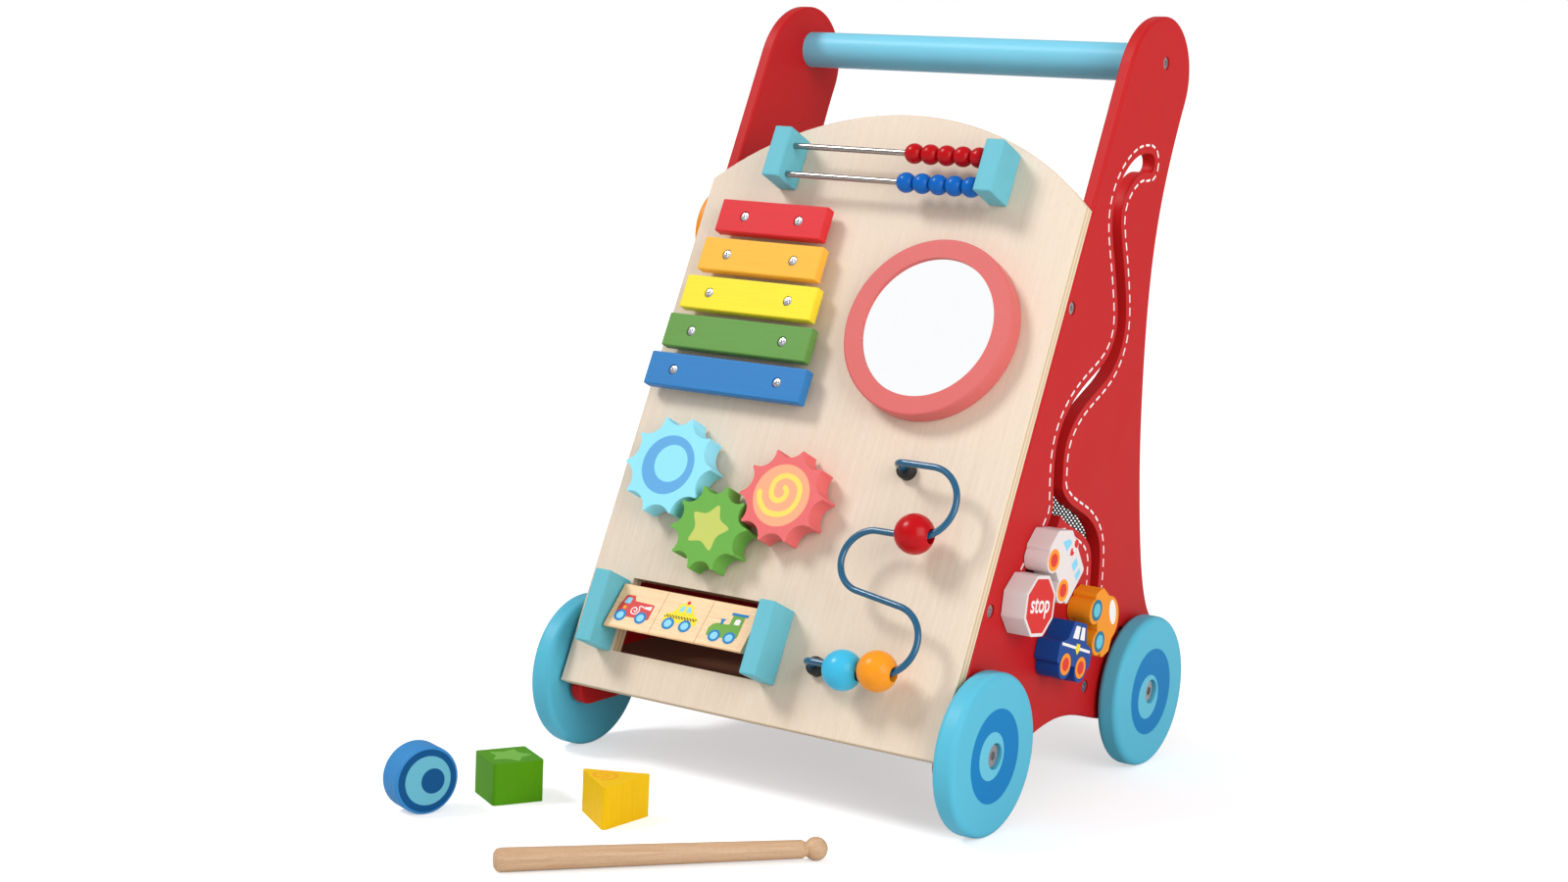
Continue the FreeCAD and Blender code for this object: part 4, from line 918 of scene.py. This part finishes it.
# %% Letters on the sign
letters = bpy.data.objects.new("letters", bpy.data.curves.new("letters", "FONT"))
letters.data.body = "stop"
letters.data.size = 12.6 * mm
letters.data.align_x, letters.data.align_y = "CENTER", "CENTER"
letters.data.offset = 0.18 * mm
letters.data.extrude = 0.05 * mm
letters.data.resolution_u = 3
scene.collection.objects.link(letters)
bpy.context.view_layer.update()
word_mesh = bpy.data.meshes.new_from_object(letters.evaluated_get(bpy.context.evaluated_depsgraph_get()))
bpy.data.objects.remove(letters)
word_mesh.transform(Matrix.Diagonal((1.12, 1.25, 1, 1)))
word_height = INK_LIFT + 1.6 * INK_STEP
word_mesh.transform(sign_page @ Matrix.Translation((0, 0.8 * mm, word_height)))
word = bpy.data.objects.new("vehicle_stop_sign_word", word_mesh)
scene.collection.objects.link(word)
word_mesh.materials.clear()
word_mesh.materials.append(inks["white"])
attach(word, "vehicle_stop_sign")
print("letters measure", [round(side * 1000, 1) for side in word.dimensions], "mm")

# %% [markdown]
# ## Sorting blocks
# The three loose blocks are marked like the gears: rings on the round one, a star on the
# square one and a spiral on the triangular one.

# %% Print on the round block
round_lo, round_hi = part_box("round_block")
round_turn = math.radians(-20.4)
round_way = Vector((math.cos(round_turn), math.sin(round_turn), 0))
round_centre = (round_lo + round_hi) / 2
round_face = round_centre + round_way * (reach("round_block", round_way) - round_centre.dot(round_way))
round_across = Vector((-round_way.y, round_way.x, 0))
flat_print("round_block_print", "round_block", [
    ("dark_blue", oval(0, 0, 19.1, steps=56), 0), ("block_sky", oval(0.4, 0, 15.0, steps=56), 1),
    ("dark_blue", oval(3.7, -0.6, 7.7), 2)], axes_at(round_face, round_across, (0, 0, 1)))
print("round block faces", [round(share, 2) for share in round_way])

# %% Prints on top of the square and triangular blocks
small_star = star_shape(0, 0, 14.5, 8.0, 60, radius=2.4)
small_spiral = stroke([(x * 0.55, y * 0.55) for x, y in spiral_path], 1.9)
for name, slot, ink_name, outline, turn in (
        ("square_block", "green_paint", "leaf", small_star, math.radians(61.4)),
        ("triangle_block", "yellow_paint", "amber", small_spiral, math.radians(116))):
    low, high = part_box(name)
    middle = Vector(((low.x + high.x) / 2, (low.y + high.y) / 2, high.z))
    way = Vector((math.cos(turn), math.sin(turn), 0))
    flat_print(name + "_print", name, [(ink_name, outline, 0)],
               axes_at(middle, way, (-way.y, way.x, 0)))

# %% [markdown]
# ## Road markings
# White dashes run beside both edges of the slot. Copying them by hand would be slow and
# uneven, so Geometry Nodes do it: the slot's edge becomes a curve, the curve is moved out by
# a fixed offset, points that come too near the slot again are dropped, and a small rounded
# dash is set at equal steps along what is left. The edge itself is read from the panel.

# %% The slot's edge, taken from the panel
def slot_edge():
    """The points of the slot's outer edge, in order, on the panel's outside face."""
    shape = bmesh.new()
    shape.from_mesh(nodes["right_panel"].data)
    bmesh.ops.remove_doubles(shape, verts=shape.verts, dist=1e-6)
    rim = [edge for edge in shape.edges if len(edge.link_faces) == 2
           and all(abs(point.co.x - panel_face) < 1e-5 for point in edge.verts)
           and sum(face.normal.x > 0.9999 for face in edge.link_faces) == 1]
    neighbours = {}
    for edge in rim:
        first, second = edge.verts
        neighbours.setdefault(first.index, []).append(second.index)
        neighbours.setdefault(second.index, []).append(first.index)
    places = {point.index: point.co.copy() for point in shape.verts}
    shape.free()
    loops, seen = [], set()
    for start in neighbours:
        if start in seen:
            continue
        loop, here = [], start
        while here is not None:
            seen.add(here)
            loop.append(places[here])
            here = next((other for other in neighbours[here] if other not in seen), None)
        loops.append(loop)
    tall = sorted(loops, key=lambda loop: max(p.z for p in loop) - min(p.z for p in loop))
    return tall[-2]


edge_points = slot_edge()
print("slot edge points:", len(edge_points))

# %% [markdown]
# ## Starting a Geometry Nodes tree
# Such a tree is a small machine: geometry goes in, geometry comes out, and its named inputs
# are the sizes to set. Running it on a mesh and keeping the result as a plain mesh means
# that nothing is left to work out when the part is exported.

# %% Helpers for Geometry Nodes
MATERIAL = "NodeSocketMaterial"


def new_geometry_tree(name, inputs):
    """A Geometry Nodes tree with named inputs, and its two end nodes."""
    tree = bpy.data.node_groups.new(name, "GeometryNodeTree")
    tree.interface.new_socket("Geometry", in_out="INPUT", socket_type="NodeSocketGeometry")
    for label, kind, value in inputs:
        socket = tree.interface.new_socket(label, in_out="INPUT", socket_type=kind)
        if value is not None:
            socket.default_value = value
    tree.interface.new_socket("Geometry", in_out="OUTPUT", socket_type="NodeSocketGeometry")
    return tree, tree.nodes.new("NodeGroupInput").outputs, tree.nodes.new("NodeGroupOutput").inputs


def grow(name, mesh, tree, values, body, slot):
    """Runs a Geometry Nodes tree on a mesh, keeps the result as a plain mesh, and mounts it."""
    seed = bpy.data.objects.new(name + "_seed", mesh)
    scene.collection.objects.link(seed)
    modifier = seed.modifiers.new("grow", "NODES")
    modifier.node_group = tree
    sockets = {item.name: item.identifier for item in tree.interface.items_tree if item.in_out == "INPUT"}
    for label, value in values.items():
        modifier[sockets[label]] = value
    bpy.context.view_layer.update()
    grown = bpy.data.meshes.new_from_object(seed.evaluated_get(bpy.context.evaluated_depsgraph_get()))
    seed.modifiers.clear()
    bpy.data.objects.remove(seed)
    piece = bpy.data.objects.new(name, grown)
    scene.collection.objects.link(piece)
    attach(piece, body)
    return piece


print("Geometry Nodes helpers:", new_geometry_tree.__name__, "and", grow.__name__)

# %% [markdown]
# ## The line that the dashes follow
# The edge's tangent crossed with the direction out of the panel gives the way across the
# edge, and the curve is moved that way. At a tight inner bend the moved curve folds back
# towards the slot. Its points there are nearer the edge than the offset, and are dropped.

# %% Geometry Nodes: the line beside the edge
edge_sample = 1.2 * mm
nearly_all = 0.985
dashes, given, result = new_geometry_tree("edge_dashes", [
    ("Offset", NUMBER, 5 * mm), ("Step", NUMBER, 8.8 * mm), ("Dash length", NUMBER, 5.5 * mm),
    ("Dash width", NUMBER, 1.4 * mm), ("Thickness", NUMBER, 0.1 * mm), ("Facing", VECTOR, (1, 0, 0)),
    ("Ink", MATERIAL, None)])
edge = put(dashes, "GeometryNodeMeshToCurve", {"Mesh": given["Geometry"]})
even = put(dashes, "GeometryNodeResampleCurve", {"Curve": edge.outputs[0], "Length": edge_sample},
           mode="LENGTH")
tangent = put(dashes, "GeometryNodeInputTangent").outputs[0]
outward = vectors(dashes, "CROSS_PRODUCT", tangent, given["Facing"])
shift = vectors(dashes, "SCALE", outward, given["Offset"])
moved = put(dashes, "GeometryNodeSetPosition", {"Geometry": even.outputs[0], "Offset": shift})
near = put(dashes, "GeometryNodeProximity", {"Target": given["Geometry"]}, target_element="EDGES")
full_distance = sums(dashes, "ABSOLUTE", given["Offset"])
too_near = put(dashes, "FunctionNodeCompare",
               {0: near.outputs["Distance"], 1: sums(dashes, "MULTIPLY", full_distance, nearly_all)},
               operation="LESS_THAN")
trimmed = put(dashes, "GeometryNodeDeleteGeometry",
              {"Geometry": moved.outputs[0], "Selection": too_near.outputs[0]}, domain="POINT")
stops = put(dashes, "GeometryNodeResampleCurve", {"Curve": trimmed.outputs[0], "Length": given["Step"]},
            mode="LENGTH")
print("nodes for the line:", len(dashes.nodes))

# %% Geometry Nodes: one rounded dash
corner_share = 0.3
strip = put(dashes, "GeometryNodeCurvePrimitiveQuadrilateral",
            {"Width": given["Dash length"], "Height": given["Dash width"]})
corner = sums(dashes, "MULTIPLY", given["Dash width"], corner_share)
rounded = put(dashes, "GeometryNodeFilletCurve", {"Curve": strip.outputs[0], "Count": 3, "Radius": corner},
              mode="POLY")
filled = put(dashes, "GeometryNodeFillCurve", {"Curve": rounded.outputs[0]}, mode="NGONS")
raised = put(dashes, "GeometryNodeExtrudeMesh",
             {"Mesh": filled.outputs[0], "Offset Scale": given["Thickness"], "Individual": False})
under = put(dashes, "GeometryNodeFlipFaces", {"Mesh": filled.outputs[0]})
dash = put(dashes, "GeometryNodeJoinGeometry", {})
dashes.links.new(raised.outputs[0], dash.inputs[0])
dashes.links.new(under.outputs[0], dash.inputs[0])
closed = put(dashes, "GeometryNodeMergeByDistance", {"Geometry": dash.outputs[0], "Distance": 1e-6})
print("nodes with the dash:", len(dashes.nodes))

# %% Geometry Nodes: a dash at every stop
aimed = put(dashes, "FunctionNodeAlignRotationToVector", {"Vector": tangent}, axis="X")
turned = put(dashes, "FunctionNodeAlignRotationToVector",
             {"Rotation": aimed.outputs[0], "Vector": given["Facing"]}, axis="Z", pivot_axis="X")
copies = put(dashes, "GeometryNodeInstanceOnPoints",
             {"Points": stops.outputs[0], "Instance": closed.outputs[0], "Rotation": turned.outputs[0]})
real = put(dashes, "GeometryNodeRealizeInstances", {"Geometry": copies.outputs[0]})
inked = put(dashes, "GeometryNodeSetMaterial", {"Geometry": real.outputs[0], "Material": given["Ink"]})
dashes.links.new(inked.outputs[0], result["Geometry"])
print("nodes in the whole tree:", len(dashes.nodes))

# %% [markdown]
# ## The markings on the panel
# The edge's points can run round the slot either way. The sign of the area they enclose
# tells which, and so whether the offset has to be turned round.

# %% Road markings on the panel
dash_offset = 5.0 * mm
edge_mesh = bpy.data.meshes.new("slot_edge")
lift = Vector((INK_LIFT, 0, 0))
edge_mesh.from_pydata([point + lift for point in edge_points],
                      [(k, (k + 1) % len(edge_points)) for k in range(len(edge_points))], [])
signed_area = sum(edge_points[k - 1].y * edge_points[k].z - edge_points[k].y * edge_points[k - 1].z
                  for k in range(len(edge_points)))
road = grow("road_markings", edge_mesh, dashes,
            {"Offset": dash_offset if signed_area > 0 else -dash_offset, "Ink": inks["white"]},
            "frame", "red_paint")
print("road marking faces:", len(road.data.polygons))

# %% [markdown]
# ## Xylophone screws
# Ten cross screws with low heads hold the bars. One head is turned from a short profile and
# its cross is cut with a boolean. Geometry Nodes then place it at every screw of the CAD
# part, which stays behind for the physics, and this detailed set is shown in its place.

# %% The turned head
HEAD_STEPS = 24


def turned_profile(profile, steps):
    """A mesh turned about Z from (radius, height) points, closed at both ends."""
    shape = bmesh.new()
    rings = [[shape.verts.new((radius * math.cos(2 * math.pi * k / steps),
                               radius * math.sin(2 * math.pi * k / steps), height)) for k in range(steps)]
             for radius, height in profile]
    for lower, upper in zip(rings, rings[1:]):
        for k in range(steps):
            shape.faces.new((lower[k - 1], lower[k], upper[k], upper[k - 1]))
    shape.faces.new(rings[0][::-1])
    shape.faces.new(rings[-1])
    bmesh.ops.recalc_face_normals(shape, faces=shape.faces)
    mesh = bpy.data.meshes.new("turned")
    shape.to_mesh(mesh)
    shape.free()
    return mesh


head_profile = [(1.7, -4.0), (1.7, -0.4), (3.1, -0.4), (3.2, 0.1), (3.15, 0.5), (2.8, 0.8), (1.6, 0.95),
                (0.4, 1.0)]
turned_head = turned_profile([(radius * mm, height * mm) for radius, height in head_profile], HEAD_STEPS)
head = bpy.data.objects.new("screw_head", turned_head)
scene.collection.objects.link(head)
print("turned head faces:", len(turned_head.polygons))

# %% The cross in the head
cross_bar = Matrix.Diagonal((3.9 * mm, 0.9 * mm, 1.7 * mm, 1))
cross_height = Matrix.Translation((0, 0, 1.1 * mm))
cutter_shape = bmesh.new()
for turn in (0, math.pi / 2):
    across_head = Matrix.Rotation(turn, 4, "Z")
    bmesh.ops.create_cube(cutter_shape, size=1.0, matrix=across_head @ cross_height @ cross_bar)
cutter_mesh = bpy.data.meshes.new("cross")
cutter_shape.to_mesh(cutter_mesh)
cutter_shape.free()
cutter = bpy.data.objects.new("cross", cutter_mesh)
scene.collection.objects.link(cutter)
cut = head.modifiers.new("cross", "BOOLEAN")
cut.object, cut.operation, cut.solver, cut.use_self = cutter, "DIFFERENCE", "EXACT", True
bpy.context.view_layer.update()
head_mesh = bpy.data.meshes.new_from_object(head.evaluated_get(bpy.context.evaluated_depsgraph_get()))
bpy.data.objects.remove(head)
bpy.data.objects.remove(cutter)
print("screw head faces:", len(head_mesh.polygons))

# %% [markdown]
# ## A screw on every bar
# Each bar has a screw near each end. The places are worked out from the bars, so they follow
# if a bar changes. The tree turns every screw about its own axis by chance, as a maker's
# driver leaves them, and its fixed seed gives the same turns each time.

# %% Places of the bar screws
bar_screw_inset = 20.6 * mm
sunk_below_top = 1.5 * mm
screw_spots = []
for name in sorted(n for n in nodes if n.startswith("xylophone_bar_")):
    low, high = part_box(name)
    middle = (low + high) / 2
    top = reach(name, OUT_BOARD) - middle.dot(OUT_BOARD) - sunk_below_top
    for x in (low.x + bar_screw_inset, high.x - bar_screw_inset):
        screw_spots.append(Vector((x, middle.y, middle.z)) + OUT_BOARD * top)
print("places found:", len(screw_spots))

# %% Geometry Nodes: screws on given places
screw_tree, given, result = new_geometry_tree("screws_on_spots", [
    ("Screw", "NodeSocketObject", None), ("Out", VECTOR, OUT_BOARD), ("Seed", "NodeSocketInt", 4),
    ("Metal", MATERIAL, None)])
screw_info = put(screw_tree, "GeometryNodeObjectInfo", {"Object": given["Screw"]})
stand = put(screw_tree, "FunctionNodeAlignRotationToVector", {"Vector": given["Out"]}, axis="Z")
chance = put(screw_tree, "FunctionNodeRandomValue", {2: 0.0, 3: math.pi, "Seed": given["Seed"]})
spin = put(screw_tree, "ShaderNodeCombineXYZ", {"Z": chance.outputs[1]})
spun = put(screw_tree, "FunctionNodeRotateRotation", {"Rotation": stand.outputs[0]}, rotation_space="LOCAL")
as_turn = put(screw_tree, "FunctionNodeEulerToRotation", {0: spin.outputs[0]})
screw_tree.links.new(as_turn.outputs[0], spun.inputs[1])
set_screws = put(screw_tree, "GeometryNodeInstanceOnPoints",
                 {"Points": given["Geometry"], "Instance": screw_info.outputs["Geometry"],
                  "Rotation": spun.outputs[0]})
solid = put(screw_tree, "GeometryNodeRealizeInstances", {"Geometry": set_screws.outputs[0]})
coated = put(screw_tree, "GeometryNodeSetMaterial",
             {"Geometry": solid.outputs[0], "Material": given["Metal"]})
screw_tree.links.new(coated.outputs[0], result["Geometry"])
print("nodes in the tree:", len(screw_tree.nodes))

# %% Set the screws
one_screw = bpy.data.objects.new("one_screw", head_mesh)
scene.collection.objects.link(one_screw)
spot_mesh = bpy.data.meshes.new("screw_spots")
spot_mesh.from_pydata(screw_spots, [], [])
bar_screws = grow("xylophone_cross_screws", spot_mesh, screw_tree, {"Screw": one_screw, "Metal": zinc},
                  "frame", "zinc_screw")
bpy.data.objects.remove(one_screw)
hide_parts("xylophone_screws")
print("faces on all the screws:", len(bar_screws.data.polygons))

# %% [markdown]
# ## Woven net cloth
# The pocket behind the walker is a teal woven net with staggered rows of small open holes.
# They are too many to model, so a group turns the cloth's own coordinates into a pattern of
# dots: it drives the alpha, and the threads between the holes get a raised weave.

# %% Group: open weave
row_height = 0.62            # from one row of holes to the next, in pitches
hole_squash = 1.35           # how much wider than tall a hole is
above_zero = 64              # keeps the cell numbers positive
threads_per_pitch = 3
weave, given, result = new_group(
    "open_weave", [("Vector", VECTOR, None), ("Pitch", NUMBER, 2.8 * mm), ("Hole", NUMBER, 0.30)],
    [("Cloth", NUMBER), ("Threads", NUMBER)])
cells = vectors(weave, "SCALE", given["Vector"], sums(weave, "DIVIDE", 1.0, given["Pitch"]))
column, row = put(weave, "ShaderNodeSeparateXYZ", {0: cells}).outputs[:2]


def centred(place, shift):
    """Where a point lies within its cell, from -0.5 to 0.5."""
    return sums(weave, "SUBTRACT", sums(weave, "FRACT", sums(weave, "ADD", place, above_zero + shift)), 0.5)


def distance_to_hole(shift):
    """Distance to the middle of the nearest hole of one of the two staggered sets."""
    x = centred(column, shift)
    y = centred(sums(weave, "DIVIDE", row, row_height * 2), shift)
    y = sums(weave, "MULTIPLY", y, row_height * 2 * hole_squash)
    squares = sums(weave, "ADD", sums(weave, "MULTIPLY", x, x), sums(weave, "MULTIPLY", y, y))
    return sums(weave, "SQRT", squares)


nearest = sums(weave, "MINIMUM", distance_to_hole(0.0), distance_to_hole(0.5))
slant = sums(weave, "MULTIPLY", sums(weave, "ADD", column, row), 2 * math.pi * threads_per_pitch)
threads = sums(weave, "MULTIPLY_ADD", sums(weave, "SINE", slant), 0.5, nearest)
weave.links.new(sums(weave, "GREATER_THAN", nearest, given["Hole"]), result["Cloth"])
weave.links.new(threads, result["Threads"])
print("group made:", weave.name)

# %% [markdown]
# ## Net cloth and hem cloth
# The pattern follows the sheet and not the room, so it reads the sheet's own UV map, which
# holds real lengths. The hem is the same cloth rolled up: finer, darker and with no holes.

# %% Materials: net and hem cloth
def cloth(name, dark, light, pitch, open_holes):
    """A woven cloth of two tones. Where its holes are open, the alpha cuts them out."""
    made, tree, shader, _ = new_material(name)
    own = put(tree, "ShaderNodeUVMap", uv_map="cloth").outputs[0]
    pattern = put(tree, "ShaderNodeGroup", {"Vector": own, "Pitch": pitch}, node_tree=weave).outputs
    shade = spread(tree, pattern["Threads"], -0.3, 1.0)
    tree.links.new(mixed(tree, shade, tint(*dark), tint(*light)), shader.inputs["Base Color"])
    tree.links.new(spread(tree, pattern["Threads"], -0.3, 1.0, 0.72, 0.9), shader.inputs["Roughness"])
    if open_holes:
        tree.links.new(pattern["Cloth"], shader.inputs["Alpha"])
    relief(tree, shader, pattern["Threads"], 0.5, 0.4 * mm)
    shader.inputs["Sheen Weight"].default_value = 0.2
    return made


net_cloth = cloth("net_cloth", (44, 98, 110), (84, 138, 148), 2.8 * mm, True)
hem_cloth = cloth("hem_cloth", (34, 74, 84), (70, 118, 126), 1.1 * mm, False)
print("cloths made:", net_cloth.name, hem_cloth.name)

# %% [markdown]
# ## The storage net
# The net is one sheet, pulled straight between the two panels: fixed along the rear rail,
# bulging back a little in the middle, with a thick hem at the top. Its surface follows a
# rule, so it is made as a grid whose rows and columns are placed by sums, and then given a
# wall. The helper that makes the grid also serves the hem.

# %% A sheet that follows a rule
def grid_sheet(name, point_at, wide, high, columns, rows):
    """A sheet from a rule, with a UV map called cloth that holds real lengths in metres."""
    shape = bmesh.new()
    grid = [[shape.verts.new(point_at(2 * c / columns - 1, r / rows)) for c in range(columns + 1)]
            for r in range(rows + 1)]
    layer = shape.loops.layers.uv.new("cloth")
    for r in range(rows):
        for c in range(columns):
            face = shape.faces.new((grid[r][c], grid[r][c + 1], grid[r + 1][c + 1], grid[r + 1][c]))
            face.smooth = True
            for loop, (dc, dr) in zip(face.loops, ((0, 0), (1, 0), (1, 1), (0, 1))):
                loop[layer].uv = ((c + dc) / columns * wide, (r + dr) / rows * high)
    mesh = bpy.data.meshes.new(name)
    shape.to_mesh(mesh)
    shape.free()
    piece = bpy.data.objects.new(name, mesh)
    scene.collection.objects.link(piece)
    return piece


print("sheets are made by", grid_sheet.__name__)

# %% The net sheet
wall_thickness = 0.7 * mm
net_lo, net_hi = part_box("storage_net")
hem_radius = 4.5 * mm
net_plane = net_lo.y + hem_radius
net_top = net_hi.z - hem_radius
net_foot = net_lo.z
inner = net_hi.x - 0.6 * mm
cloth_room = 1.2 * mm
bulge = net_hi.y - cloth_room - net_plane


def net_point(u, v):
    """A point of the net: u from -1 to 1 across, v from 0 at the rail to 1 at the hem."""
    belly = math.sin(math.pi * v) * (0.82 + 0.18 * math.cos(math.pi * u / 2))
    folds = 0.35 * mm * math.sin(23 * u + 2 * math.sin(3 * v)) * v * (1 - v) * 4
    height = net_foot + (net_top - net_foot) * v
    return Vector((inner * u, net_plane + (bulge - cloth_room) * belly + folds, height))


net_height = sum((net_point(0, (k + 1) / 40) - net_point(0, k / 40)).length for k in range(40))
net = grid_sheet("storage_net_sheet", net_point, 2 * inner, net_height, 96, 36)
wall = net.modifiers.new("wall", "SOLIDIFY")
wall.thickness = wall_thickness
wall.offset = 0
net.data.materials.append(net_cloth)
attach(net, "frame")
print("net sheet:", round(2 * inner, 3), "by", round(net_height, 3), "m")

# %% [markdown]
# ## The hem
# The net's top edge is rolled into a thick hem, puckered by its stitches. It is a second
# sheet, wrapped once round the edge. Its seam is merged, its two ends are closed, and the
# face directions are worked out afresh, because a closed roll can come out inside out.

# %% The hem
def hem_point(u, v):
    """The hem: a flattened roll of cloth round the net's top edge."""
    turn = 2 * math.pi * v
    pucker = 0.25 * mm * math.sin(41 * u + math.sin(turn))
    return Vector((inner * u, net_plane + (hem_radius * 0.72 + pucker) * math.cos(turn),
                   net_top + (hem_radius * 0.92) * math.sin(turn)))


hem = grid_sheet("storage_net_hem", hem_point, 2 * inner, 2 * math.pi * hem_radius, 120, 20)
hem_shape = bmesh.new()
hem_shape.from_mesh(hem.data)
bmesh.ops.remove_doubles(hem_shape, verts=hem_shape.verts, dist=1e-6)
bmesh.ops.holes_fill(hem_shape, edges=[edge for edge in hem_shape.edges if edge.is_boundary])
bmesh.ops.recalc_face_normals(hem_shape, faces=hem_shape.faces)
hem_shape.to_mesh(hem.data)
hem_shape.free()
hem.data.materials.append(hem_cloth)
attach(hem, "frame")
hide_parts("storage_net")
print("hem faces:", len(hem.data.polygons))
